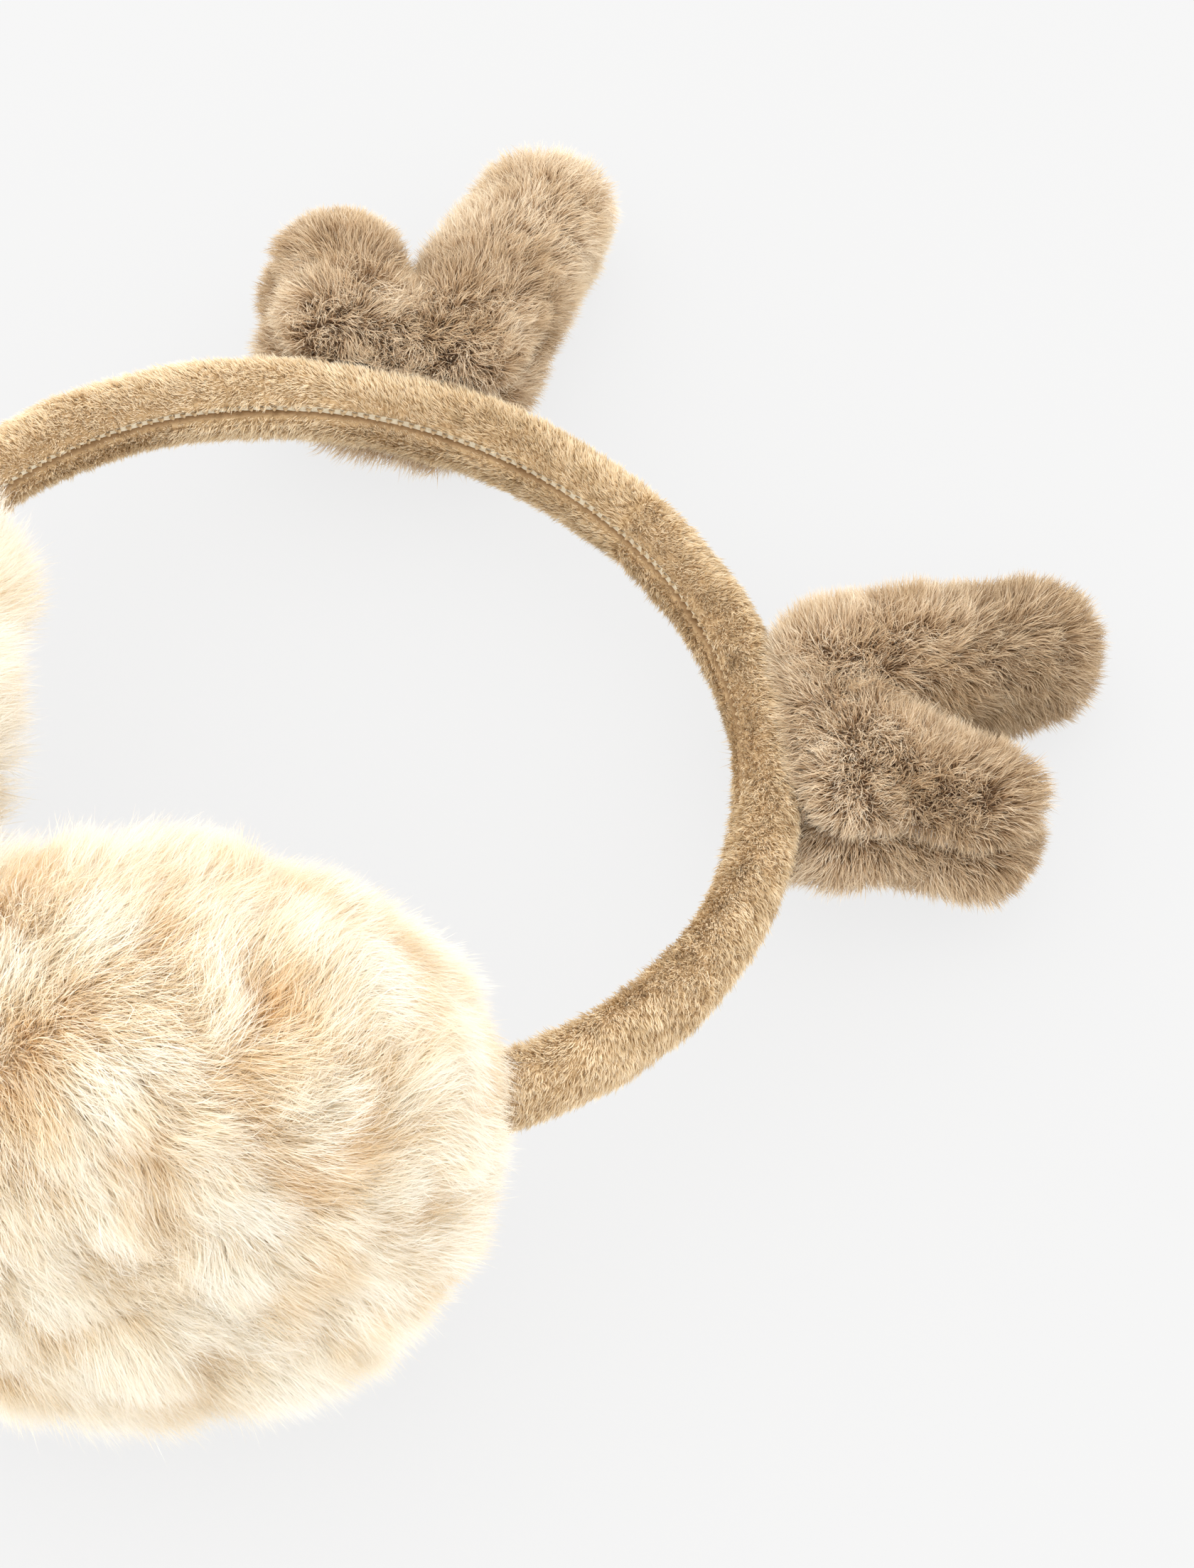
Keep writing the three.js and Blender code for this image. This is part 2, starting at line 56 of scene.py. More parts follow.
MM = 0.001
CROWN_RADIUS = 82.6 * MM
CROWN_SWEEP = 88
LEG_RADIUS = 88.4 * MM
PIVOT_HEADING = 119
SLEEVE_HALF_THICKNESS = 6 * MM
SLEEVE_HALF_WIDTH = 9 * MM
PILE_DEPTH = 0.9 * MM
SLEEVE_END = 12.5 * MM
SEAM_TURN = 167  # degrees round the sleeve's oval from straight out of the arch
EAR_FACE_OFFSET = 22 * MM

MUFF_RADIUS = 52 * MM
MUFF_RIM_OFFSET = 5 * MM
MUFF_DOME = 27 * MM
MUFF_TUCK = 25 * MM
MUFF_OPENING = 38.5 * MM
MUFF_HOLLOW = 36 * MM
MUFF_HOLLOW_FLOOR = -4.55 * MM
MUFF_VOXEL = 4 * MM
MUFF_PUFF = 3.5 * MM  # the most that the skin swells
MUFF_PRESS = 7 * MM  # the skin's distance from the plane where the muffs meet, with the fur between
MUFF_REST = 3 * MM  # and its height over the table
PUFF_POWER = 2.3
CHANNEL_HALF = 10 * MM
CHANNEL_FLOOR = 39 * MM
EAR_PAD_RADIUS = 34.4 * MM
EAR_PAD_BACK = -6.2 * MM

ANTLER_INSET = 2.6 * MM
ANTLER_THICKEN = 1.1
ANTLER_SEAT = 1.6 * MM
# Each limb: from and to, in mm in the antler's frame, each with a radius. The two antlers differ a little.
ANTLER_LIMBS = {
    "right": (
        ((-12, 14, 12), (12, 14, 12.6)),
        ((-13.5, 16.5, 14.8), (-23.5, 53.6, 11.8)),
        ((7.5, 15, 12.6), (14.8, 36.5, 12.2)),
    ),
    "left": (
        ((-12, 14, 12), (12, 14, 12)),
        ((-10, 16, 13.4), (-22, 57, 13)),
        ((7.5, 15, 12.4), (14.6, 32.4, 12.6)),
    ),
}

FLOOR_CLEARANCE = 0.3 * MM
FLOOR_SQUEEZE = 4 * MM
MEETING_REACH = 6 * MM  # how far a muff's fur may pass the plane where the two muffs meet
MEETING_SQUEEZE = 5 * MM


# ---- Numbers and directions ----

def unit(v):
    return v / np.maximum(np.linalg.norm(v, axis=-1, keepdims=True), 1e-9)


def waves(points, size, seed, count=14):
    """A smooth random field over space, about -1 to 1, with features about size across."""
    rng = np.random.default_rng(seed)
    direction = unit(rng.normal(size=(count, 3)))
    pitch = 2 * np.pi / (size * rng.uniform(1.3, 3.2, count))
    phase = rng.uniform(0, 2 * np.pi, count)
    return np.sin(points @ (direction * pitch[:, None]).T + phase).sum(1) / math.sqrt(count)


def wave_vectors(points, size, seed):
    return np.stack([waves(points, size, seed + i) for i in range(3)], 1)


def across(v, normals):
    """The part of each vector that lies in the surface."""
    return v - normals * (v * normals).sum(-1, keepdims=True)


def rising(value, start, span):
    """0 up to start, then evenly up to 1 over the span."""
    return np.clip((value - start) / span, 0, 1)


def kept_over(value, floor, give):
    """Values that would pass below the floor, pressed softly together within the give above it."""
    top = floor + give
    return np.where(value < top, floor + give * np.exp((np.minimum(value, top) - top) / give), value)


record = frame["record"]
joints = {j["name"]: j for j in frame["joints"]}
mounts = {m["name"]: m for m in record["mounts"]}

ARCH_X = np.array([1.0, 0.0, 0.0])
ARCH_Z = np.array(joints["arm_flex_right"]["axis"])
ARCH_Y = -np.array(mounts["crown_inside"]["axis"])
ARCH_ORIGIN = np.array(mounts["crown_inside"]["pos_m"]) + ARCH_Y * SLEEVE_HALF_THICKNESS
MUFF_AXIS = -np.array(mounts["ear_face_right"]["axis"])
MUFF_UP = np.cross(ARCH_Z, MUFF_AXIS)
MUFF_CENTRE = np.array(mounts["ear_face_right"]["pos_m"]) + MUFF_AXIS * EAR_FACE_OFFSET
ANTLER_ALONG = np.array(joints["antler_flop_right"]["axis"])
ANTLER_OUT = np.cross(ARCH_Z, ANTLER_ALONG)
ANTLER_ORIGIN = np.array(joints["antler_flop_right"]["pos_m"])
MIRROR = np.array([-1.0, 1.0, 1.0])
SIDES = {"right": np.ones(3), "left": MIRROR}


def out_of_arch(heading):
    """Unit vectors out of the arch; negative headings are the left half."""
    turn = np.radians(heading)[..., None]
    return np.sin(turn) * ARCH_X + np.cos(turn) * ARCH_Y


def along_band(heading):
    turn = np.radians(heading)[..., None]
    return np.cos(turn) * ARCH_X - np.sin(turn) * ARCH_Y


def band_point(heading):
    """Points of the band's centreline at these headings from the crown."""
    heading = np.asarray(heading, float)
    turn = np.abs(heading)
    on_crown = np.minimum(turn, CROWN_SWEEP)
    point = CROWN_RADIUS * out_of_arch(on_crown) - CROWN_RADIUS * ARCH_Y
    leg = out_of_arch(turn) - out_of_arch(on_crown)
    point = point + np.where((turn > CROWN_SWEEP)[..., None], LEG_RADIUS * leg, 0)
    point[..., 0] *= np.where(heading < 0, -1, 1)
    return point + ARCH_ORIGIN


LAST_HEADING = PIVOT_HEADING - math.degrees(SLEEVE_END / LEG_RADIUS)


# ---- Meshes ----

def link(name, mesh):
    obj = bpy.data.objects.new(name, mesh)
    bpy.context.scene.collection.objects.link(obj)
    return obj


def mesh_piece(name, points, faces, material, smooth=True):
    """A piece from arrays: points (n, 3), and faces as lists or an array of corner numbers."""
    mesh = bpy.data.meshes.new(name)
    mesh.from_pydata([tuple(p) for p in points], [], [tuple(int(i) for i in f) for f in faces])
    mesh.update()
    if smooth:
        mesh.polygons.foreach_set("use_smooth", np.ones(len(mesh.polygons), bool))
    if material:
        mesh.materials.append(material)
    return link(name, mesh)


def coordinates(obj):
    found = np.empty(len(obj.data.vertices) * 3, np.float32)
    obj.data.vertices.foreach_get("co", found)
    return found.reshape(-1, 3).astype(float)


def set_coordinates(obj, points):
    obj.data.vertices.foreach_set("co", points.astype(np.float32).ravel())
    obj.data.update()


def apply_modifiers(obj):
    depsgraph = bpy.context.evaluated_depsgraph_get()
    made = bpy.data.meshes.new_from_object(obj.evaluated_get(depsgraph), depsgraph=depsgraph)
    obj.modifiers.clear()
    old = obj.data
    obj.data = made
    bpy.data.meshes.remove(old)
    made.polygons.foreach_set("use_smooth", np.ones(len(made.polygons), bool))
    return obj


def subdivided(obj, levels=1):
    obj.modifiers.new("smooth", "SUBSURF").levels = levels
    return apply_modifiers(obj)


def remeshed(obj, voxel):
    material = obj.data.materials[0]
    remesh = obj.modifiers.new("remesh", "REMESH")
    remesh.mode = "VOXEL"
    remesh.voxel_size = voxel
    apply_modifiers(obj)
    obj.data.materials.clear()
    obj.data.materials.append(material)
    return obj


def puffed(obj, cap, pressure=4.0, frames=20):
    """Blows the closed mesh up as cloth, and keeps each point within cap of where it started."""
    start = coordinates(obj)
    cloth = obj.modifiers.new("cloth", "CLOTH")
    cloth.settings.quality = 6
    cloth.settings.mass = 0.2
    cloth.settings.tension_stiffness = 12
    cloth.settings.compression_stiffness = 12
    cloth.settings.bending_stiffness = 0.4
    cloth.settings.use_pressure = True
    cloth.settings.uniform_pressure_force = pressure
    cloth.settings.effector_weights.gravity = 0
    cloth.point_cache.frame_start = 1
    cloth.point_cache.frame_end = frames
    scene = bpy.context.scene
    for number in range(1, frames + 1):
        scene.frame_set(number)
    apply_modifiers(obj)
    scene.frame_set(1)
    move = coordinates(obj) - start
    far = np.linalg.norm(move, axis=1, keepdims=True)
    set_coordinates(obj, start + move * np.minimum(1, cap / np.maximum(far, 1e-9)))
    return obj


def mirrored(obj, name):
    """The mirror image across the plane X = 0, as a new piece."""
    mesh = obj.data.copy()
    copy = link(name, mesh)
    set_coordinates(copy, coordinates(copy) * MIRROR)
    mesh.flip_normals()
    return copy


# ---- Fur ----

def scatter(obj, per_square_mm, rng):
    """Roots and surface normals at random places on a mesh, evenly by area."""
    mesh = obj.data
    mesh.calc_loop_triangles()
    corners = np.empty(len(mesh.loop_triangles) * 3, np.int32)
    mesh.loop_triangles.foreach_get("vertices", corners)
    corners = corners.reshape(-1, 3)
    normals = np.empty(len(mesh.vertices) * 3, np.float32)
    mesh.vertex_normals.foreach_get("vector", normals)
    normals = normals.reshape(-1, 3)
    points = coordinates(obj)
    a, b, c = (points[corners[:, i]] for i in range(3))
    area = np.linalg.norm(np.cross(b - a, c - a), axis=1) / 2
    count = int(area.sum() / MM**2 * per_square_mm)
    pick = rng.choice(len(area), count, p=area / area.sum())
    u, v = rng.random((2, count, 1))
    over = u + v > 1
    u, v = np.where(over, 1 - u, u), np.where(over, 1 - v, v)
    weights = (1 - u - v, u, v)
    roots = sum(w * points[corners[pick, i]] for i, w in enumerate(weights))
    lying = sum(w * normals[corners[pick, i]] for i, w in enumerate(weights))
    return roots, unit(lying)


def nearest(points, guides):
    """For each point, the number of its nearest guide, and how close the second is: 0 alone, 1 midway."""
    tree = KDTree(len(guides))
    for number, guide in enumerate(guides):
        tree.insert(guide, number)
    tree.balance()
    found, midway = np.empty(len(points), int), np.empty(len(points))
    for i, point in enumerate(points):
        (_, found[i], near), (_, _, second) = tree.find_n(point, 2)
        midway[i] = near / max(second, 1e-9)
    return found, midway


def strands(roots, first, last, length, steps):
    """Points along each strand, which sets out in one direction and ends in another."""
    share = ((np.arange(steps) + 0.5) / steps)[None, :, None]
    heading = unit(first[:, None] * (1 - share) + last[:, None] * share)
    travel = np.cumsum(heading * (length / steps)[:, None, None], axis=1)
    return roots[:, None] + np.concatenate([np.zeros_like(travel[:, :1]), travel], axis=1)


def turned(v, axis, angle):
    """Vectors that lie across an axis, turned about it."""
    return v * np.cos(angle)[:, None] + np.cross(axis, v) * np.sin(angle)[:, None]


def gathered(lines, guide_number, guides, strength, power=1.0):
    """Draws strands together towards their guide, more so towards the tips."""
    share = (np.linspace(0, 1, lines.shape[1]) ** power)[None, :, None]
    pull = share * strength
    return lines * (1 - pull) + guides[guide_number] * pull


def above_floor(lines):
    """Strands that would reach the floor flatten just over it."""
    lines[..., 2] = kept_over(lines[..., 2], FLOOR_CLEARANCE, FLOOR_SQUEEZE)
    return lines


def beside_plane(lines, side):
    """Keeps a muff's fur from passing far across the plane where the two muffs press each other."""
    x = lines[..., 0] * side + MEETING_REACH
    lines[..., 0] = (kept_over(x, 0, MEETING_SQUEEZE) - MEETING_REACH) * side
    return lines


def band_coordinates(points):
    """Heading, and places across the band: out of the arch and out of its plane."""
    side = np.where(points[:, 0] < 0, -1.0, 1.0)
    local = points.copy()
    local[:, 0] *= side
    local = local - ARCH_ORIGIN
    x, y, z = local @ ARCH_X, local @ ARCH_Y + CROWN_RADIUS, local @ ARCH_Z
    on_leg = np.degrees(np.arctan2(x, y)) > CROWN_SWEEP
    grow, sweep = LEG_RADIUS - CROWN_RADIUS, math.radians(CROWN_SWEEP)
    x = np.where(on_leg, x + grow * math.sin(sweep), x)
    y = np.where(on_leg, y + grow * math.cos(sweep), y)
    radial = np.hypot(x, y) - np.where(on_leg, LEG_RADIUS, CROWN_RADIUS)
    return np.degrees(np.arctan2(x, y)), radial, z, side


def round_band(lines, clearance=0.6 * MM):
    """Pushes points out of the band's sleeve."""
    points = lines.reshape(-1, 3)
    heading, radial, z, side = band_coordinates(points)
    thick, wide = SLEEVE_HALF_THICKNESS + clearance, SLEEVE_HALF_WIDTH + clearance
    inside = np.hypot(radial / thick, z / wide)
    push = np.where((inside < 1) & (heading < LAST_HEADING + 2), 1 / np.maximum(inside, 0.05) - 1, 0)
    outward = out_of_arch(heading)
    move = (radial * push)[:, None] * outward + (z * push)[:, None] * ARCH_Z
    move[:, 0] *= side
    return (points + move).reshape(lines.shape)


def strand_mesh(name, lines, width, facing, tone, material, rng):
    """Tapering ribbons along the lines, as one mesh with the shade attributes that its material reads."""
    count, rings = lines.shape[:2]
    direction = unit(lines[:, 1:] - lines[:, :-1])
    direction = np.concatenate([direction, direction[:, -1:]], 1)
    side = unit(np.cross(direction, facing[:, None] + 0.8 * rng.normal(size=(count, 1, 3))))
    taper = np.sqrt(1 - (np.linspace(0, 1, rings) ** 2))[None, :, None]
    half = 0.5 * width[:, None, None] * taper
    left, right = lines - side * half, lines + side * half
    body = np.stack([left[:, :-1], right[:, :-1]], 2).reshape(count, -1, 3)
    points = np.concatenate([body, lines[:, -1:]], 1)
    per = points.shape[1]
    share = np.append(np.repeat(np.linspace(0, 1, rings)[:-1], 2), 1.0)
    first = (np.arange(count) * per)[:, None]
    quads = [[2 * k, 2 * k + 1, 2 * k + 3, 2 * k + 2] for k in range(rings - 2)]
    loops = np.concatenate([*quads, [per - 3, per - 2, per - 1]])
    starts = np.arange(0, 4 * (rings - 2) + 1, 4)
    loop_total = len(loops)
    mesh = bpy.data.meshes.new(name)
    mesh.vertices.add(count * per)
    mesh.vertices.foreach_set("co", points.astype(np.float32).ravel())
    mesh.loops.add(count * loop_total)
    mesh.loops.foreach_set("vertex_index", (first + loops).astype(np.int32).ravel())
    mesh.polygons.add(count * (rings - 1))
    offsets = (np.arange(count) * loop_total)[:, None] + starts
    mesh.polygons.foreach_set("loop_start", offsets.astype(np.int32).ravel())
    mesh.update(calc_edges=True)
    mesh.polygons.foreach_set("use_smooth", np.ones(len(mesh.polygons), bool))
    along = mesh.attributes.new("along", "FLOAT", "POINT")
    along.data.foreach_set("value", np.tile(share, count).astype(np.float32))
    shade = mesh.attributes.new("tone", "FLOAT", "POINT")
    shade.data.foreach_set("value", np.repeat(tone, per).astype(np.float32))
    mesh.materials.append(material)
    return link(name, mesh)


# ---- Materials ----

WHITE = (1.0, 1.0, 1.0, 1.0)
FUR_ROUGHNESS = 0.7
FUR_SHEEN = 0.1


def srgb(r, g, b):
    """A colour given as 0 to 255 in sRGB, as the linear colour that shaders use."""
    values = []
    for v in (r, g, b):
        v /= 255
        values.append(v / 12.92 if v <= 0.04045 else ((v + 0.055) / 1.055) ** 2.4)
    return (*values, 1.0)


def new_material(name, roughness, specular=0.3, sheen=0.0, metallic=0.0):
    material = bpy.data.materials.new(name)
    material.use_nodes = True
    nodes, links = material.node_tree.nodes, material.node_tree.links
    nodes.clear()
    output = nodes.new("ShaderNodeOutputMaterial")
    shader = nodes.new("ShaderNodeBsdfPrincipled")
    shader.inputs["Roughness"].default_value = roughness
    shader.inputs["Specular IOR Level"].default_value = specular
    shader.inputs["Sheen Weight"].default_value = sheen
    shader.inputs["Sheen Roughness"].default_value = 0.5
    shader.inputs["Metallic"].default_value = metallic
    links.new(shader.outputs["BSDF"], output.inputs["Surface"])
    return material, nodes, links, shader


def ramp(nodes, stops):
    node = nodes.new("ShaderNodeValToRGB")
    elements = node.color_ramp.elements
    while len(elements) < len(stops):
        elements.new(0.5)
    for element, (place, colour) in zip(elements, stops):
        element.position = place
        element.color = colour
    return node


def multiplied(nodes, links, a, b, factor=1.0):
    node = nodes.new("ShaderNodeMix")
    node.data_type = "RGBA"
    node.blend_type = "MULTIPLY"
    node.inputs[0].default_value = factor
    links.new(a, node.inputs[6])
    links.new(b, node.inputs[7])
    return node.outputs[2]


def noise(nodes, links, scale, detail=3.0, rough=0.6):
    place = nodes.new("ShaderNodeTexCoord")
    node = nodes.new("ShaderNodeTexNoise")
    node.inputs["Scale"].default_value = scale
    node.inputs["Detail"].default_value = detail
    node.inputs["Roughness"].default_value = rough
    links.new(place.outputs["Object"], node.inputs["Vector"])
    return node.outputs["Fac"]


def fur_material(name, along, tones, patches, patch_scale, thin=0.4):
    """Strands: a ramp from root to tip, times a tone for each strand, times broad soft patches. Being
    thin, they pass on some light from behind."""
    material, nodes, links, shader = new_material(name, FUR_ROUGHNESS, sheen=FUR_SHEEN)
    place = nodes.new("ShaderNodeAttribute")
    place.attribute_name = "along"
    tone = nodes.new("ShaderNodeAttribute")
    tone.attribute_name = "tone"
    length_ramp, tone_ramp, patch_ramp = ramp(nodes, along), ramp(nodes, tones), ramp(nodes, patches)
    links.new(place.outputs["Fac"], length_ramp.inputs["Fac"])
    links.new(tone.outputs["Fac"], tone_ramp.inputs["Fac"])
    links.new(noise(nodes, links, patch_scale), patch_ramp.inputs["Fac"])
    colour = multiplied(nodes, links, length_ramp.outputs["Color"], tone_ramp.outputs["Color"])
    colour = multiplied(nodes, links, colour, patch_ramp.outputs["Color"])
    links.new(colour, shader.inputs["Base Color"])
    through = nodes.new("ShaderNodeBsdfTranslucent")
    links.new(colour, through.inputs["Color"])
    both = nodes.new("ShaderNodeMixShader")
    both.inputs[0].default_value = thin
    links.new(shader.outputs["BSDF"], both.inputs[1])
    links.new(through.outputs["BSDF"], both.inputs[2])
    output = next(n for n in nodes if n.type == "OUTPUT_MATERIAL")
    links.new(both.outputs["Shader"], output.inputs["Surface"])
    return material


# Painted shade in the sleeve's seam groove: the velour backing's colour is darkened towards this where its shade
# attribute is high.
SEAM_SHADE = srgb(140, 114, 82)
BUMP_HEIGHT = 0.4 * MM


def mottled_material(name, colours, scale, roughness, bump=0.0, bump_scale=None, shade=None, **finish):
    """Two or three colours in soft patches, with a fine bump; shade names an attribute that paints shade into the
    colour.
    """
    material, nodes, links, shader = new_material(name, roughness, **finish)
    stops = [(0.3 + 0.4 * i / (len(colours) - 1), c) for i, c in enumerate(colours)]
    patches = ramp(nodes, stops)
    links.new(noise(nodes, links, scale), patches.inputs["Fac"])
    colour = patches.outputs["Color"]
    if shade:
        place = nodes.new("ShaderNodeAttribute")
        place.attribute_name = shade
        painted_shade = ramp(nodes, [(0.0, WHITE), (1.0, SEAM_SHADE)])
        links.new(place.outputs["Fac"], painted_shade.inputs["Fac"])
        colour = multiplied(nodes, links, colour, painted_shade.outputs["Color"])
    links.new(colour, shader.inputs["Base Color"])
    if bump:
        height = nodes.new("ShaderNodeBump")
        height.inputs["Strength"].default_value = bump
        height.inputs["Distance"].default_value = BUMP_HEIGHT
        links.new(noise(nodes, links, bump_scale or 6 * scale), height.inputs["Height"])
        links.new(height.outputs["Normal"], shader.inputs["Normal"])
    return material


velour_pile = fur_material(
    "velour_pile",
    [(0.0, srgb(178, 148, 106)), (0.4, srgb(240, 218, 180)), (1.0, srgb(254, 246, 226))],
    [(0.0, srgb(200, 188, 170)), (0.5, srgb(243, 238, 230)), (1.0, WHITE)],
    [(0.35, srgb(240, 235, 227)), (0.65, WHITE)],
    260,
    thin=0.2,
)
velour_tans = [srgb(178, 150, 112), srgb(208, 180, 140), srgb(194, 166, 126)]
velour_backing = mottled_material("velour_backing", velour_tans, 420, 0.95, 0.5, 2400, "shade")
cream_fur = fur_material(
    "cream_fur",
    [(0.0, srgb(253, 245, 226)), (0.3, srgb(253, 249, 240)), (1.0, srgb(253, 251, 246))],
    [(0.0, srgb(242, 224, 194)), (0.5, srgb(252, 249, 243)), (1.0, WHITE)],
    [(0.32, srgb(250, 242, 228)), (0.55, WHITE)],
    55,
    thin=0.5,
)
cream_backing = mottled_material(
    "cream_backing", [srgb(247, 232, 206), srgb(251, 241, 222), srgb(249, 236, 212)], 90, 0.95, 0.4, 900
)
cream_plush = fur_material(
    "cream_plush",
    [(0.0, srgb(252, 244, 228)), (0.5, srgb(253, 250, 243)), (1.0, srgb(253, 252, 249))],
    [(0.0, srgb(248, 240, 226)), (0.5, srgb(252, 249, 244)), (1.0, WHITE)],
    [(0.35, srgb(251, 246, 238)), (0.65, WHITE)],
    120,
)
taupe_fur = fur_material(
    "taupe_fur",
    [(0.0, srgb(120, 93, 66)), (0.35, srgb(208, 181, 146)), (1.0, srgb(255, 246, 226))],
    [(0.0, srgb(176, 160, 141)), (0.5, srgb(236, 226, 213)), (1.0, WHITE)],
    [(0.32, srgb(238, 230, 218)), (0.62, WHITE)],
    90,
    thin=0.25,
)
taupe_backing = mottled_material(
    "taupe_backing", [srgb(128, 100, 74), srgb(150, 122, 94), srgb(136, 108, 82)], 200, 0.95, 0.5, 1500
)
pale_thread = mottled_material(
    "pale_thread", [srgb(198, 170, 130), srgb(222, 196, 156)], 900, 0.75, 0.6, 5000, sheen=0.2
)
brown_thread = mottled_material(
    "brown_thread", [srgb(132, 104, 78), srgb(158, 130, 100)], 900, 0.75, 0.6, 5000, sheen=0.2
)
open_foam = mottled_material(
    "open_foam", [srgb(224, 214, 190), srgb(238, 230, 208), srgb(230, 221, 198)], 500, 0.95, 0.8, 1600
)
fibre_filling = mottled_material(
    "fibre_filling", [srgb(238, 236, 230), srgb(250, 249, 246)], 160, 0.95, 0.8, 700
)
dark_plastic = mottled_material(
    "dark_plastic", [srgb(44, 44, 46), srgb(56, 56, 58)], 60, 0.45, 0.15, 3000, specular=0.5
)
pale_plastic = mottled_material(
    "pale_plastic", [srgb(226, 223, 214), srgb(236, 233, 226)], 60, 0.4, 0.15, 3000, specular=0.5
)
pin_steel = mottled_material(
    "pin_steel", [srgb(176, 178, 182), srgb(196, 198, 202)], 900, 0.28, 0.1, 6000, metallic=1.0
)
woven_elastic = mottled_material(
    "woven_elastic", [srgb(234, 229, 218), srgb(246, 243, 236)], 1400, 0.8, 0.8, 3200
)
brown_felt = mottled_material(
    "brown_felt", [srgb(138, 112, 86), srgb(160, 134, 106), srgb(148, 122, 96)], 500, 0.95, 0.8, 2600
)

CAD_FINISHES = {
    "strip_plastic": dark_plastic,
    "foam": open_foam,
    "velour": velour_backing,
    "thread": pale_thread,
    "frame_plastic": pale_plastic,
    "pin_steel": pin_steel,
    "cream_fur": cream_backing,
    "cream_plush": cream_backing,
    "fibrefill": fibre_filling,
    "elastic": woven_elastic,
    "taupe_fur": taupe_backing,
    "antler_thread": brown_thread,
    "felt": brown_felt,
}


def finish_cad_nodes():
    for part in record["subparts"]:
        node = frame["nodes"][part["node"]]
        node.data.materials.clear()
        node.data.materials.append(CAD_FINISHES[part["material_slot"]])


# ---- Band ----

SEAM_PITCH = 2.3 * MM
SEAM_DEPTH = 1.3 * MM
SEAM_HALF = 1.2 * MM
GROOVE_HALF = 0.95 * MM
BEAD_PLACE = 2.2 * MM  # the cloth swells beside the seam, this far from it
BEAD_HALF = 1.1 * MM
BEAD_RISE = 0.5 * MM
# Folds of the cloth near the muff: heading and turn in degrees, and how far up or down, as a share.
RUMPLES = ((99.5, 60, 1.0), (103.5, 100, -0.8), (107.5, 60, 0.8), (84, 20, 0.7), (92, -60, 0.6))
RUMPLE_RISE = 0.8 * MM
RUMPLE_LENGTH = 2.2  # degrees of heading
RUMPLE_WIDTH = 0.9  # radians of turn
SLEEVE_RINGS = 240
SLEEVE_AROUND = 120
FLEX_BLEND = (49.0, 71.0)  # headings between which an arm flexes; the band's points there are found but not used
PILE_STRANDS = 69000
PILE_WISPS = 9000
PILE_LENGTH = (1.6 * MM, 3 * MM)
PILE_WIDTH = (0.13 * MM, 0.22 * MM)
STITCH_SHARE = (0.14, 0.74)  # where a stitch shows, as a share of the pitch
STITCH_RISE = 0.95 * MM
STITCH_RADIUS = 0.42 * MM


def turned_from(turn, degrees):
    """The turn from a place round the sleeve, in radians, between minus and plus half a turn."""
    return np.angle(np.exp(1j * (turn - math.radians(degrees))))


def off_seam(turn):
    return turned_from(turn, SEAM_TURN) * SLEEVE_HALF_WIDTH


def sleeve_height(heading, turn):
    """How far the cloth stands off the sleeve's plain oval, at headings and turns about it."""
    length = np.radians(heading) * CROWN_RADIUS
    around, over = SLEEVE_HALF_WIDTH * np.cos(turn), SLEEVE_HALF_WIDTH * np.sin(turn)
    flat = np.stack([length, around, over], -1).reshape(-1, 3)
    soft = waves(flat, 9 * MM, 5).reshape(heading.shape)
    fine = waves(flat, 3.2 * MM, 6).reshape(heading.shape)
    off = off_seam(turn)
    stitch = np.cos(2 * math.pi * np.radians(heading) * CROWN_RADIUS / SEAM_PITCH)
    groove = np.exp(-((off / GROOVE_HALF) ** 4)) * (1 + 0.1 * stitch)
    beads = np.exp(-(((np.abs(off) - BEAD_PLACE) / BEAD_HALF) ** 2)) * (1 - 0.5 * stitch)
    height = 0.16 * MM * soft + 0.07 * MM * fine - SEAM_DEPTH * groove + BEAD_RISE * beads
    for place, round_at, rise in RUMPLES:
        near = ((heading - place) / RUMPLE_LENGTH) ** 2
        wide = (turned_from(turn, round_at) / RUMPLE_WIDTH) ** 2
        height = height + rise * RUMPLE_RISE * np.exp(-near - wide)
    return height - PILE_DEPTH - 0.2 * MM


def sleeve_points(heading, turn, height):
    """Places on the right half of the band, a height off the plain oval, and the way out of the cloth."""
    outward, across_plane = np.cos(turn), np.sin(turn)
    on_oval = (outward * SLEEVE_HALF_THICKNESS)[..., None] * out_of_arch(heading)
    on_oval = on_oval + (across_plane * SLEEVE_HALF_WIDTH)[..., None] * ARCH_Z
    normal = unit(
        (outward / SLEEVE_HALF_THICKNESS)[..., None] * out_of_arch(heading)
        + (across_plane / SLEEVE_HALF_WIDTH)[..., None] * ARCH_Z
    )
    return band_point(heading) + on_oval + normal * height[..., None], normal


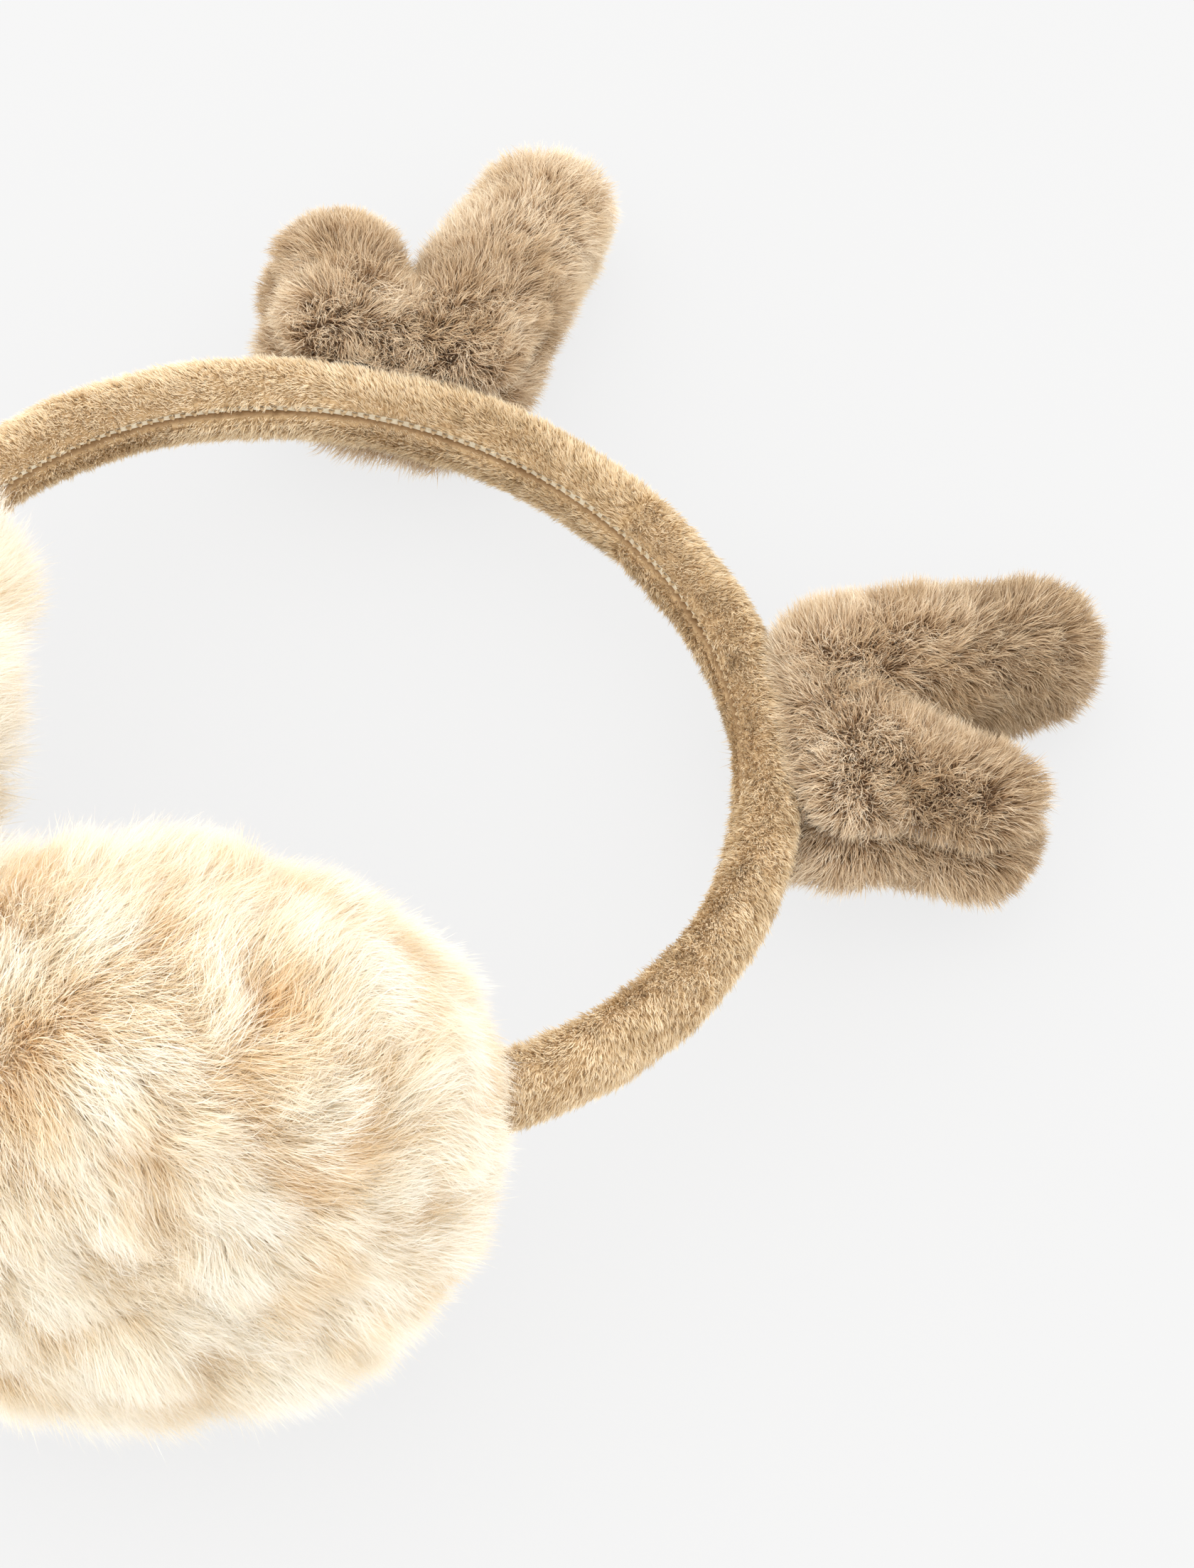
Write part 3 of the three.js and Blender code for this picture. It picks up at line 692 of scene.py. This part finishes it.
def make_sleeve(side, mirror):
    rings, around = SLEEVE_RINGS, SLEEVE_AROUND
    heading = np.linspace(0, LAST_HEADING, rings)[:, None] * np.ones((1, around))
    turn = np.ones((rings, 1)) * (np.arange(around) * 2 * math.pi / around)
    points, _ = sleeve_points(heading, turn, sleeve_height(heading, turn))
    points = points.reshape(-1, 3) * mirror
    ends = band_point(np.array([0.0, LAST_HEADING])) * mirror
    points = np.concatenate([points, ends])
    faces = []
    for i in range(rings - 1):
        for k in range(around):
            n = (k + 1) % around
            faces.append([i * around + k, i * around + n, (i + 1) * around + n, (i + 1) * around + k])
    last = (rings - 1) * around
    for k in range(around):
        n = (k + 1) % around
        faces.append([n, k, rings * around])
        faces.append([last + k, last + n, rings * around + 1])
    if side == "left":
        faces = [f[::-1] for f in faces]
    sleeve = mesh_piece(f"sleeve_velour_{side}", points, faces, velour_backing)
    # Painted shade along the seam's groove, where the cloth folds in; the backing darkens where this attribute is
    # high.
    off = off_seam(turn.ravel())
    shade = sleeve.data.attributes.new("shade", "FLOAT", "POINT")
    groove_painted_shade = np.append(np.exp(-((off / (1.3 * MM)) ** 4)), [0, 0])
    shade.data.foreach_set("value", groove_painted_shade.astype(np.float32))
    pile = make_sleeve_pile(side, mirror)
    stitches = make_stitches(side, mirror)
    start, end = (band_point(np.array([h]))[0] * mirror for h in FLEX_BLEND)
    for piece, slot in ((sleeve, "velour"), (pile, "velour"), (stitches, "thread")):
        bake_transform(piece)
    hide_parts("plush_sleeve_crown", f"plush_sleeve_arm_{side}")
    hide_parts("sleeve_seam_thread_crown", f"sleeve_seam_thread_arm_{side}")


def make_sleeve_pile(side, mirror):
    """The velour's short pile, leaning this way and that in soft patches."""
    rng = np.random.default_rng(31 if side == "right" else 32)
    heading = rng.uniform(0, LAST_HEADING, PILE_STRANDS)
    turn = rng.uniform(0, 2 * math.pi, PILE_STRANDS)
    off = off_seam(turn)
    clear = np.abs(off) > SEAM_HALF
    heading, turn, off = heading[clear], turn[clear], off[clear]
    count = len(turn)
    roots, outward = sleeve_points(heading, turn, sleeve_height(heading, turn))
    forward = along_band(heading)
    round_way = np.cross(outward, forward)
    slant = 0.5 * waves(roots, 14 * MM, 71) + 0.5
    comb = forward * (0.75 + 0.25 * waves(roots, 8 * MM, 72))[:, None] + round_way * slant[:, None]
    scatter_way = rng.normal(size=roots.shape)
    first = unit(outward + 0.6 * comb + 0.35 * scatter_way)
    last = unit(0.35 * outward + comb + 0.35 * scatter_way)
    length = rng.uniform(*PILE_LENGTH, count) * (1 - 0.6 * np.exp(-((off / (2.0 * MM)) ** 4)))
    lines = strands(roots, first, last, length, 2)
    wisps = rng.choice(count, PILE_WISPS, replace=False)
    wisp_of, _ = nearest(roots, roots[wisps])
    lines = gathered(lines, wisp_of, lines[wisps], 0.36) * mirror
    tone = 0.5 + 0.12 * rng.normal(size=count) + 0.13 * rng.normal(size=len(wisps))[wisp_of]
    # Painted light: the pile is paler up the left arm and at the right arm's end by the muff, for the light that
    # falls there.
    painted_light = rising(heading, 25, 30) if side == "left" else 0.25 * rising(heading, 88, 10)
    tone = tone + 0.12 * waves(roots, 3 * MM, 73) + painted_light
    width = rng.uniform(*PILE_WIDTH, count)
    tone = np.clip(tone, 0, 1)
    return strand_mesh(f"sleeve_pile_{side}", lines, width, outward * mirror, tone, velour_pile, rng)


def make_stitches(side, mirror):
    """A row of machine stitches lying in the sleeve's seam."""
    length = math.radians(LAST_HEADING) * CROWN_RADIUS
    count = int(length / SEAM_PITCH)
    points, faces = [], []
    sides, rings = 6, 7
    for i in range(count):
        share = np.linspace(*STITCH_SHARE, rings)
        heading = (i + share) * LAST_HEADING / count
        turn = np.full(rings, math.radians(SEAM_TURN))
        height = -PILE_DEPTH - SEAM_DEPTH + STITCH_RISE * np.sin(np.pi * (share - share[0]) / np.ptp(share))
        line, outward = sleeve_points(heading, turn, height)
        wide = np.cross(outward, along_band(heading))
        thick = STITCH_RADIUS * np.sqrt(1 - np.linspace(-0.96, 0.96, rings) ** 2)
        base = len(points)
        for r in range(rings):
            for k in range(sides):
                angle = 2 * math.pi * k / sides
                offset = math.cos(angle) * wide[r] + math.sin(angle) * outward[r]
                points.append((line[r] + thick[r] * offset) * mirror)
        for r in range(rings - 1):
            for k in range(sides):
                n = (k + 1) % sides
                a, b = base + r * sides, base + (r + 1) * sides
                faces.append([a + k, b + k, b + n, a + n])
        faces.append([base + k for k in range(sides)])
        faces.append([base + (rings - 1) * sides + k for k in reversed(range(sides))])
    if side == "left":
        faces = [f[::-1] for f in faces]
    return mesh_piece(f"sleeve_stitches_{side}", np.array(points), faces, pale_thread)


# ---- Muffs ----

def muff_profile():
    """(radius, axial place) from the dome's pole, over the rim and round the ear opening to the hollow."""
    angles = np.linspace(math.pi / 2, 0, 14)
    power = 2 / PUFF_POWER
    dome = [
        (MUFF_RADIUS * max(math.cos(a), 0) ** power, MUFF_RIM_OFFSET + MUFF_DOME * math.sin(a) ** power)
        for a in angles
    ]
    dome[0] = (0.0, MUFF_RIM_OFFSET + MUFF_DOME)
    tuck = []
    for a in np.linspace(0, math.pi / 2, 9)[1:]:
        radius = MUFF_OPENING + (MUFF_RADIUS - MUFF_OPENING) * max(math.cos(a), 0) ** power
        tuck.append((radius, MUFF_RIM_OFFSET - MUFF_TUCK * math.sin(a) ** power))
    hollow = [
        (MUFF_HOLLOW, MUFF_RIM_OFFSET - MUFF_TUCK + 2 * MM),
        (MUFF_HOLLOW, MUFF_HOLLOW_FLOOR - 4 * MM),
        (MUFF_HOLLOW - 1 * MM, MUFF_HOLLOW_FLOOR),
        (0.0, MUFF_HOLLOW_FLOOR),
    ]
    return dome + tuck + hollow


def revolved(name, profile, around, place, material):
    """A closed surface of revolution, whose profile starts and ends on the axis."""
    points, faces = [place(0.0, 0.0, profile[0][1])], []
    inner = profile[1:-1]
    for radius, axial in inner:
        for k in range(around):
            angle = 2 * math.pi * k / around
            points.append(place(radius * math.cos(angle), radius * math.sin(angle), axial))
    points.append(place(0.0, 0.0, profile[-1][1]))
    last = len(points) - 1
    for k in range(around):
        n = (k + 1) % around
        faces.append([0, 1 + k, 1 + n])
        for i in range(len(inner) - 1):
            a, b = 1 + i * around, 1 + (i + 1) * around
            faces.append([a + k, b + k, b + n, a + n])
        base = 1 + (len(inner) - 1) * around
        faces.append([base + k, last, base + n])
    return mesh_piece(name, np.array(points), faces, material)


def in_muff(a, b, axial):
    return MUFF_CENTRE + MUFF_UP * a + ARCH_Z * b + MUFF_AXIS * axial


def muff_coordinates(points):
    local = points - MUFF_CENTRE
    return local @ MUFF_UP, local @ ARCH_Z, local @ MUFF_AXIS


def outward_faces(obj):
    """Turns a closed mesh's faces so that they point out."""
    work = bmesh.new()
    work.from_mesh(obj.data)
    bmesh.ops.recalc_face_normals(work, faces=work.faces)
    work.to_mesh(obj.data)
    work.free()
    return obj


def make_muff_skin():
    """The right muff's fur backing: puffed, pressed against the other muff, hollowed for pad and arm."""
    skin = revolved("muff_skin_right", muff_profile(), 72, in_muff, cream_backing)
    outward_faces(skin)
    remeshed(skin, MUFF_VOXEL)
    before = coordinates(skin)
    puffed(skin, MUFF_PUFF)
    up, over, axial = muff_coordinates(before)
    hollow = (np.hypot(up, over) < MUFF_HOLLOW + 1.5 * MM) & (axial < MUFF_HOLLOW_FLOOR + 4 * MM)
    points = np.where(hollow[:, None], before, coordinates(skin))
    up, over, axial = muff_coordinates(points)
    in_channel = (np.abs(over) < CHANNEL_HALF) & (np.abs(axial) < CHANNEL_HALF + 2 * MM)
    sink = np.where(in_channel & (up > CHANNEL_FLOOR), CHANNEL_FLOOR - up, 0)
    points = points + sink[:, None] * MUFF_UP
    points[:, 0] = kept_over(points[:, 0], MUFF_PRESS, MUFF_PRESS)
    points[:, 2] = kept_over(points[:, 2], MUFF_REST, MUFF_REST)
    set_coordinates(skin, points)
    return subdivided(skin)


MUFF_FLOW = np.array([0.69, 0.72, 0.0])
MUFF_WHORL = np.array([0.0, -0.115, 0.079])  # the fur lies away from here, where the muffs press
MUFF_SAG = np.array([0.0, 0.0, -0.2])
MUFF_STRANDS = 12.5  # per square mm
MUFF_FUR_LENGTH = (10.5 * MM, 14 * MM)
MUFF_FUR_WIDTH = (0.11 * MM, 0.19 * MM)
MUFF_TUFTS = 190
WISPS = 14000  # on a muff or an antler
UNDERFUR_SHARE = 0.25
UNDERFUR_LENGTH = 0.6
MUFF_PIECE_STRANDS = 37000


def muff_comb(roots, normals, mirror, seed):
    """Which way the long fur lies: away from where the muffs press, sagging, in broad swirls."""
    away = unit(roots - MUFF_WHORL * mirror)
    swirl = wave_vectors(roots, 24 * MM, seed)
    comb = 0.4 * away + MUFF_FLOW * mirror + 0.45 * swirl + MUFF_SAG
    return unit(across(comb, normals))


def make_muff_fur(side, mirror, skin):
    rng = np.random.default_rng(51 if side == "right" else 52)
    seed = 400 if side == "right" else 440
    roots, normals = scatter(skin, MUFF_STRANDS, rng)
    local = roots * mirror
    up, over, axial = muff_coordinates(local)
    in_hollow = (np.hypot(up, over) < MUFF_HOLLOW + 1.0 * MM) & (axial < MUFF_HOLLOW_FLOOR + 5 * MM)
    at_arm = (np.abs(over) < SLEEVE_HALF_WIDTH) & (np.abs(axial) < SLEEVE_HALF_THICKNESS + 1 * MM)
    at_arm &= (up > 0) & (np.hypot(up, over) < MUFF_RADIUS - 6 * MM)
    keep = ~(in_hollow | at_arm)
    roots, normals = roots[keep], normals[keep]
    count = len(roots)

    tufts = rng.choice(count, MUFF_TUFTS, replace=False)
    tuft_of, midway = nearest(roots + 1.8 * MM * rng.normal(size=roots.shape), roots[tufts])
    mound = 1 - np.clip((midway - 0.4) / 0.55, 0, 1) ** 2
    veer = rng.uniform(-0.55, 0.55, len(tufts))[tuft_of] + 0.4 * waves(roots, 13 * MM, seed + 5)
    curl = rng.uniform(-0.6, 0.6, len(tufts))[tuft_of]
    lift = rng.uniform(-0.2, 0.3, len(tufts))[tuft_of]
    size = rng.uniform(0.88, 1.12, len(tufts))[tuft_of]

    comb = muff_comb(roots, normals, mirror, seed)
    stray, kink = rng.normal(size=(2, *roots.shape))
    first = unit(normals * (1.1 + lift)[:, None] + turned(comb, normals, veer) * 0.5 + 0.2 * stray)
    last = unit(normals * (0.5 + lift)[:, None] + 0.9 * turned(comb, normals, veer + curl) + 0.4 * kink)
    under = (rng.random(count) < UNDERFUR_SHARE)[:, None]
    first = np.where(under, unit(first + 0.7 * stray), first)
    last = np.where(under, unit(last + 0.8 * stray), last)
    sagging = 1 + 0.25 * (1 - rising(roots[:, 2], 14 * MM, 20 * MM))
    low = sagging * np.clip((roots[:, 2] + 4 * MM) / (12 * MM), 0.8, 1)
    pressed = 1 - rising(np.abs(roots[:, 0]), 18 * MM, 30 * MM)
    flare = (0.25 if side == "left" else -0.25) + 0.6 * pressed
    ear_side = 1 + flare * np.clip(-((normals * mirror) @ MUFF_AXIS), 0, 1)
    length = rng.uniform(*MUFF_FUR_LENGTH, count) * size * low * ear_side * (0.72 + 0.38 * mound)
    length = length * np.where(under[:, 0], UNDERFUR_LENGTH, 1)
    lines = strands(roots, first, last, length, 3)
    lines = gathered(lines, tuft_of, lines[tufts], 0.12, 1.8)
    wisps = rng.choice(count, WISPS, replace=False)
    wisp_of, _ = nearest(roots, roots[wisps])
    lines = gathered(lines, wisp_of, lines[wisps], 0.22, 1.4)
    lines = above_floor(beside_plane(round_band(lines), mirror[0]))
    # Strands towards a tuft's edge get a lower, more ochre tone: painted shade in the valleys between tufts.
    tone = 0.2 + 0.6 * mound + 0.05 * rng.normal(size=count) + 0.05 * rng.normal(size=len(wisps))[wisp_of]
    # Fur on upward faces is a little darker: painted shade that takes down the light falling on the top.
    tone = tone - 0.1 * rising(normals[:, 2], 0.3, 0.6)
    tone = np.clip(tone + 0.1 * rng.normal(size=len(tufts))[tuft_of], 0, 1)
    width = rng.uniform(*MUFF_FUR_WIDTH, count)
    pieces = math.ceil(count / MUFF_PIECE_STRANDS)
    up, over, _ = muff_coordinates(roots * mirror)
    order = np.argsort(np.arctan2(over, up))
    for number, part in enumerate(np.array_split(order, pieces)):
        name = f"muff_fur_{side}_{number + 1}"
        piece = strand_mesh(name, lines[part], width[part], normals[part], tone[part], cream_fur, rng)
        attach(piece, f"muff_{side}")


def make_ear_pad():
    """The right ear pad's plush cover: a disc with a rounded edge, and its side, as a shell."""
    face = -EAR_FACE_OFFSET
    side = [
        (EAR_PAD_RADIUS, face + 9 * MM),
        (EAR_PAD_RADIUS, EAR_PAD_BACK),
        (EAR_PAD_RADIUS - 1.2 * MM, EAR_PAD_BACK),
    ]
    # Radius and height over the face, in mm, first outside and then inside.
    outside = ((0, 0), (9, 0), (18, 0), (25, 0), (29.5, 0.6), (32.4, 2.4), (34, 5.2))
    inside = ((33.2, 9), (31.5, 4.2), (28, 2), (0, 1.6))
    outside, inside = ([(r * MM, face + h * MM) for r, h in part] for part in (outside, inside))
    profile = outside + side + inside
    pad = revolved("ear_pad_right", profile, 64, in_muff, cream_backing)
    return outward_faces(pad)


PAD_STRANDS = 4.5  # per square mm
PAD_FUR_LENGTH = (2.8 * MM, 4.6 * MM)
PAD_FUR_WIDTH = (0.22 * MM, 0.34 * MM)


def make_ear_pad_fur(side, mirror, pad):
    rng = np.random.default_rng(61 if side == "right" else 62)
    roots, normals = scatter(pad, PAD_STRANDS, rng)
    up, over, axial = muff_coordinates(roots * mirror)
    local_normals = normals * mirror
    to_the_ear = local_normals @ MUFF_AXIS < -0.3
    to_the_side = (local_normals @ MUFF_UP) * up + (local_normals @ ARCH_Z) * over > 0
    inward = local_normals @ MUFF_AXIS > 0.2
    keep = (axial < EAR_PAD_BACK - 1 * MM) & (to_the_ear | to_the_side) & ~inward
    roots, normals = roots[keep], normals[keep]
    comb = unit(across(wave_vectors(roots, 18 * MM, 611) + np.array([0, 0, -0.4]), normals))
    stray = rng.normal(size=roots.shape)
    first, last = unit(normals + 0.4 * comb + 0.25 * stray), unit(0.6 * normals + 0.8 * comb + 0.3 * stray)
    lines = strands(roots, first, last, rng.uniform(*PAD_FUR_LENGTH, len(roots)), 2)
    tone = np.clip(0.5 + 0.2 * rng.normal(size=len(roots)) + 0.2 * waves(roots, 5 * MM, 612), 0, 1)
    width = rng.uniform(*PAD_FUR_WIDTH, len(roots))
    piece = strand_mesh(f"ear_pad_plush_{side}", lines, width, normals, tone, cream_plush, rng)
    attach(piece, f"muff_{side}")


def make_muffs():
    skin, pad = make_muff_skin(), make_ear_pad()
    for side, mirror in SIDES.items():
        cover = skin if side == "right" else mirrored(skin, "muff_skin_left")
        ear = pad if side == "right" else mirrored(pad, "ear_pad_left")
        make_muff_fur(side, mirror, cover)
        make_ear_pad_fur(side, mirror, ear)
        for piece, node, slot in (
            (cover, f"muff_fur_cover_{side}", "cream_fur"),
            (ear, f"muff_ear_cover_{side}", "cream_plush"),
        ):
            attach(piece, f"muff_{side}")
            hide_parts(node)


# ---- Antlers ----

def in_antler(points):
    points = np.asarray(points, float)
    along, out, over = points[..., :1], points[..., 1:2], points[..., 2:3]
    return ANTLER_ORIGIN + along * ANTLER_ALONG + out * ANTLER_OUT + over * ARCH_Z


def antler_coordinates(points):
    local = points - ANTLER_ORIGIN
    return np.stack([local @ ANTLER_ALONG, local @ ANTLER_OUT, local @ ARCH_Z], -1)


def limb_faces(limb, rings=14, around=22):
    """A capsule for one limb, thicker across the antler's plane than in it."""
    (x0, y0, from_radius), (x1, y1, to_radius) = limb
    length = math.hypot(x1 - x0, y1 - y0) * MM
    ahead = np.array([(x1 - x0) * MM / length, (y1 - y0) * MM / length, 0.0])
    wide = np.array([-ahead[1], ahead[0], 0.0])
    deep = np.array([0.0, 0.0, 1.0])
    start = np.array([x0 * MM, y0 * MM, 0.0])
    points = []
    for i in range(rings + 1):
        angle = math.pi * i / rings - math.pi / 2
        far = i > rings // 2
        radius = (to_radius if far else from_radius) * MM
        r = radius - ANTLER_INSET
        thick = (ANTLER_THICKEN * radius - ANTLER_INSET) / r
        forward = r * math.sin(angle) + (length if far else 0)
        ring = r * math.cos(angle)
        for k in range(around):
            turn = 2 * math.pi * k / around
            off = ring * math.cos(turn) * wide + ring * thick * math.sin(turn) * deep
            points.append(start + forward * ahead + off)
    faces = []
    for i in range(rings):
        for k in range(around):
            n = (k + 1) % around
            faces.append([i * around + k, (i + 1) * around + k, (i + 1) * around + n, i * around + n])
    return points, faces


LOBE_RISE = 1.6 * MM
SEAM_PLACE = 1.5 * MM  # the seam lies a little above the antler's middle
SEAM_GROOVE = 3 * MM
BASE_TUCK = 6.5 * MM  # how far the lower side of the base reaches under the band
ANTLER_VOXEL = 2.4 * MM
ANTLER_PUFF = 1.6 * MM
ANTLER_REST = 1.5 * MM
ANTLER_STRANDS = 11.5  # per square mm
ANTLER_FUR_LENGTH = (5.4 * MM, 7.8 * MM)
ANTLER_FUR_WIDTH = (0.12 * MM, 0.2 * MM)
ANTLER_PIECE_STRANDS = 38000


def on_long_limb(local):
    """How far a place is up the long limb, from 0 at its foot to 1."""
    return rising(local[:, 1], 22 * MM, 14 * MM) * (local[:, 0] < 0)


def make_antler_skin(side):
    """A stuffed antler's body: its limbs run together, puffed, with a seam drawn in round its edge."""
    points, faces = [], []
    for limb in ANTLER_LIMBS[side]:
        more_points, more_faces = limb_faces(limb)
        faces += [[i + len(points) for i in f] for f in more_faces]
        points += more_points
    skin = mesh_piece(f"antler_body_{side}", in_antler(points), faces, taupe_backing)
    remeshed(skin, ANTLER_VOXEL)
    puffed(skin, ANTLER_PUFF)
    subdivided(skin)
    points = coordinates(skin)
    local = antler_coordinates(points)
    _, off = limb_field(local, side)
    off[:, 2] = 0
    sideways = unit(off)
    depth = local[:, 2]
    lobes = np.exp(-(((np.abs(depth) - 8 * MM) / (4.5 * MM)) ** 2))
    up_long_limb = on_long_limb(local)
    lobes = lobes * np.where(depth < 0, 2.3 - 2.2 * up_long_limb, 0.5)
    groove = np.exp(-(((depth - SEAM_PLACE) / (1.7 * MM)) ** 2)) * (1 - 0.8 * up_long_limb)
    move = (lobes * LOBE_RISE - groove * SEAM_GROOVE)[:, None] * sideways
    local = local + move
    tucked = rising(-depth, 4 * MM, 5 * MM) * rising(-local[:, 1], -14 * MM, 12 * MM)
    local[:, 1] -= BASE_TUCK * tucked
    points = in_antler(local)
    points = round_band(points[:, None], ANTLER_SEAT)[:, 0]
    points[:, 2] = kept_over(points[:, 2], ANTLER_REST, ANTLER_REST)
    set_coordinates(skin, points)
    return skin


def limb_field(local, side):
    """At points in the antler's frame: the way to the limbs' tips, and the offset from their middle lines
    as a share of their radius, each mostly that of the nearest limb."""
    tipward, offset, total = np.zeros_like(local), np.zeros_like(local), np.zeros((len(local), 1))
    for (x0, y0, from_radius), (x1, y1, to_radius) in ANTLER_LIMBS[side]:
        start, end = np.array([x0, y0, 0]) * MM, np.array([x1, y1, 0]) * MM
        line = end - start
        share = np.clip((local - start) @ line / (line @ line), 0, 1)[:, None]
        off = (local - start - share * line) / ((from_radius + share * (to_radius - from_radius)) * MM)
        weight = 1 / (np.linalg.norm(off, axis=1, keepdims=True) ** 6 + 0.02)
        tipward += weight * (unit(line) if y1 > y0 else np.array([0.0, -1.0, 0.0]))
        offset += weight * off
        total += weight
    return tipward / total, offset / total


def make_antler_fur(side, mirror, skin):
    rng = np.random.default_rng(81 if side == "right" else 82)
    seed = 800 if side == "right" else 840
    roots, normals = scatter(skin, ANTLER_STRANDS, rng)
    local = antler_coordinates(roots * mirror)
    keep = (np.abs(local[:, 2] - SEAM_PLACE) > 1.2 * MM) | ((local[:, 1] > 30 * MM) & (local[:, 0] < 0))
    roots, normals, local = roots[keep], normals[keep], local[keep]
    count = len(roots)
    tipward, offset = limb_field(local, side)
    offset[:, 2] *= 0.2
    flow = tipward * 0.3 + offset * 0.9
    flow = (flow[:, :1] * ANTLER_ALONG + flow[:, 1:2] * ANTLER_OUT + flow[:, 2:] * ARCH_Z) * mirror
    by_seam = np.exp(-(((local[:, 2] - SEAM_PLACE) / (3 * MM)) ** 2)) * (1 - on_long_limb(local))
    flow = flow - np.where(local[:, 2] > SEAM_PLACE, 0.1, 0.3)[:, None] * ARCH_Z
    comb = across(flow + 0.35 * wave_vectors(roots, 14 * MM, seed), normals)
    stray = rng.normal(size=roots.shape)
    first = unit(normals + 0.35 * comb + 0.25 * stray)
    kink = 0.4 * wave_vectors(roots, 3 * MM, seed + 7)
    last = unit(0.6 * normals + 0.8 * comb + 0.45 * stray[:, [1, 2, 0]] + kink)
    length = rng.uniform(*ANTLER_FUR_LENGTH, count) * (1 + 0.1 * waves(roots, 9 * MM, seed + 5))
    length = length * (1 - 0.6 * by_seam) * np.clip(0.55 + (local[:, 1] + 4 * MM) / (12 * MM), 0.4, 1)
    if side == "left":
        on_short_tip = rising(local[:, 1], 30 * MM, 8 * MM) * (local[:, 0] > 0)
        length = length * (1 - 0.4 * on_short_tip)
    lines = strands(roots, first, last, length, 3)
    wisps = rng.choice(count, WISPS, replace=False)
    wisp_of, _ = nearest(roots, roots[wisps])
    lines = gathered(lines, wisp_of, lines[wisps], 0.3)
    lines = above_floor(round_band(lines))
    tone = 0.5 + 0.17 * rng.normal(size=count) + 0.16 * rng.normal(size=len(wisps))[wisp_of]
    # The bases, by the band, are paler: painted light that lifts the shade the band casts there.
    tone = tone + 0.35 * (1 - rising(local[:, 1], 16 * MM, 10 * MM))
    # Towards the tips the left antler is paler and the right darker: painted light and painted shade for how the
    # light falls on each.
    tone = tone + (0.5 if side == "left" else -0.2) * rising(local[:, 1], 30 * MM, 14 * MM)
    tone = np.clip(tone, 0, 1)
    width = rng.uniform(*ANTLER_FUR_WIDTH, count)
    upper = local[:, 2] > SEAM_PLACE
    for panel, members in (("upper", upper), ("lower", ~upper)):
        chosen = np.flatnonzero(members)
        order = chosen[np.argsort(local[chosen, 1])]
        pieces = math.ceil(len(order) / ANTLER_PIECE_STRANDS)
        for number, part in enumerate(np.array_split(order, pieces)):
            name = f"antler_fur_{panel}_{side}_{number + 1}"
            piece = strand_mesh(name, lines[part], width[part], normals[part], tone[part], taupe_fur, rng)
            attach(piece, f"antler_{side}")


def make_antlers():
    for side, mirror in SIDES.items():
        body = make_antler_skin(side)
        if side == "left":
            body.name = "antler_body"
            whole = body
            body = mirrored(whole, "antler_body_left")
            bpy.data.objects.remove(whole)
        make_antler_fur(side, mirror, body)
        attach(body, f"antler_{side}")
        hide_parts(f"antler_upper_panel_{side}", f"antler_lower_panel_{side}", f"antler_seam_{side}")


# ---- Stage ----

FLOOR_HALF = 6.0
FLOOR_GLOW = 0.79
WORLD_LIGHT = 2.03
LAMP_PLACE = (-0.55, 0.2, 1.3)
LAMP_WATTS = 4
LAMP_SIZE = 1.8

# The view: the way round from the front and up, and how far from the point looked at.
VIEW_AZIMUTH = 46.564
VIEW_ELEVATION = 59.016
VIEW_DISTANCE = 0.90123
VIEW_TARGET = (0.02666, 0.03686, 0.01057)
VIEW_LENS = 111.65
VIEW_SHIFT = 0.018


def make_stage():
    corners = [(x * FLOOR_HALF, y * FLOOR_HALF, 0) for x, y in ((-1, -1), (1, -1), (1, 1), (-1, 1))]
    paper = mottled_material("pale_paper", [srgb(71, 71, 71), srgb(73, 73, 73)], 2, 0.95, specular=0.0)
    shader = next(n for n in paper.node_tree.nodes if n.type == "BSDF_PRINCIPLED")
    shader.inputs["Emission Color"].default_value = WHITE
    shader.inputs["Emission Strength"].default_value = FLOOR_GLOW
    floor = mesh_piece("floor", corners, [[0, 1, 2, 3]], paper, smooth=False)
    world = bpy.data.worlds.new("studio")
    world.use_nodes = True
    background = world.node_tree.nodes["Background"]
    background.inputs["Color"].default_value = (1.0, 0.995, 0.985, 1.0)
    background.inputs["Strength"].default_value = WORLD_LIGHT
    bpy.context.scene.world = world
    light = bpy.data.lights.new("softbox", "AREA")
    light.shape = "DISK"
    light.size = LAMP_SIZE
    light.energy = LAMP_WATTS
    lamp = bpy.data.objects.new("softbox", light)
    lamp.location = LAMP_PLACE
    aim = Vector((0, 0, 0)) - lamp.location
    lamp.rotation_euler = aim.to_track_quat("-Z", "Y").to_euler()
    bpy.context.scene.collection.objects.link(lamp)
    bpy.context.scene.view_settings.view_transform = "Standard"


def make_camera():
    data = bpy.data.cameras.new("camera")
    data.sensor_width = 36
    data.lens = VIEW_LENS
    data.shift_x = VIEW_SHIFT
    data.clip_start, data.clip_end = 0.01, 20
    camera = bpy.data.objects.new("camera", data)
    azimuth, elevation = math.radians(VIEW_AZIMUTH), math.radians(VIEW_ELEVATION)
    level = math.cos(elevation)
    back = Vector((math.sin(azimuth) * level, -math.cos(azimuth) * level, math.sin(elevation)))
    camera.location = Vector(VIEW_TARGET) + back * VIEW_DISTANCE
    camera.rotation_euler = (-back).to_track_quat("-Z", "Y").to_euler()
    bpy.context.scene.collection.objects.link(camera)
    bpy.context.scene.camera = camera


make_camera()
make_stage()
finish_cad_nodes()
for side, mirror in SIDES.items():
    make_sleeve(side, mirror)
make_muffs()
make_antlers()
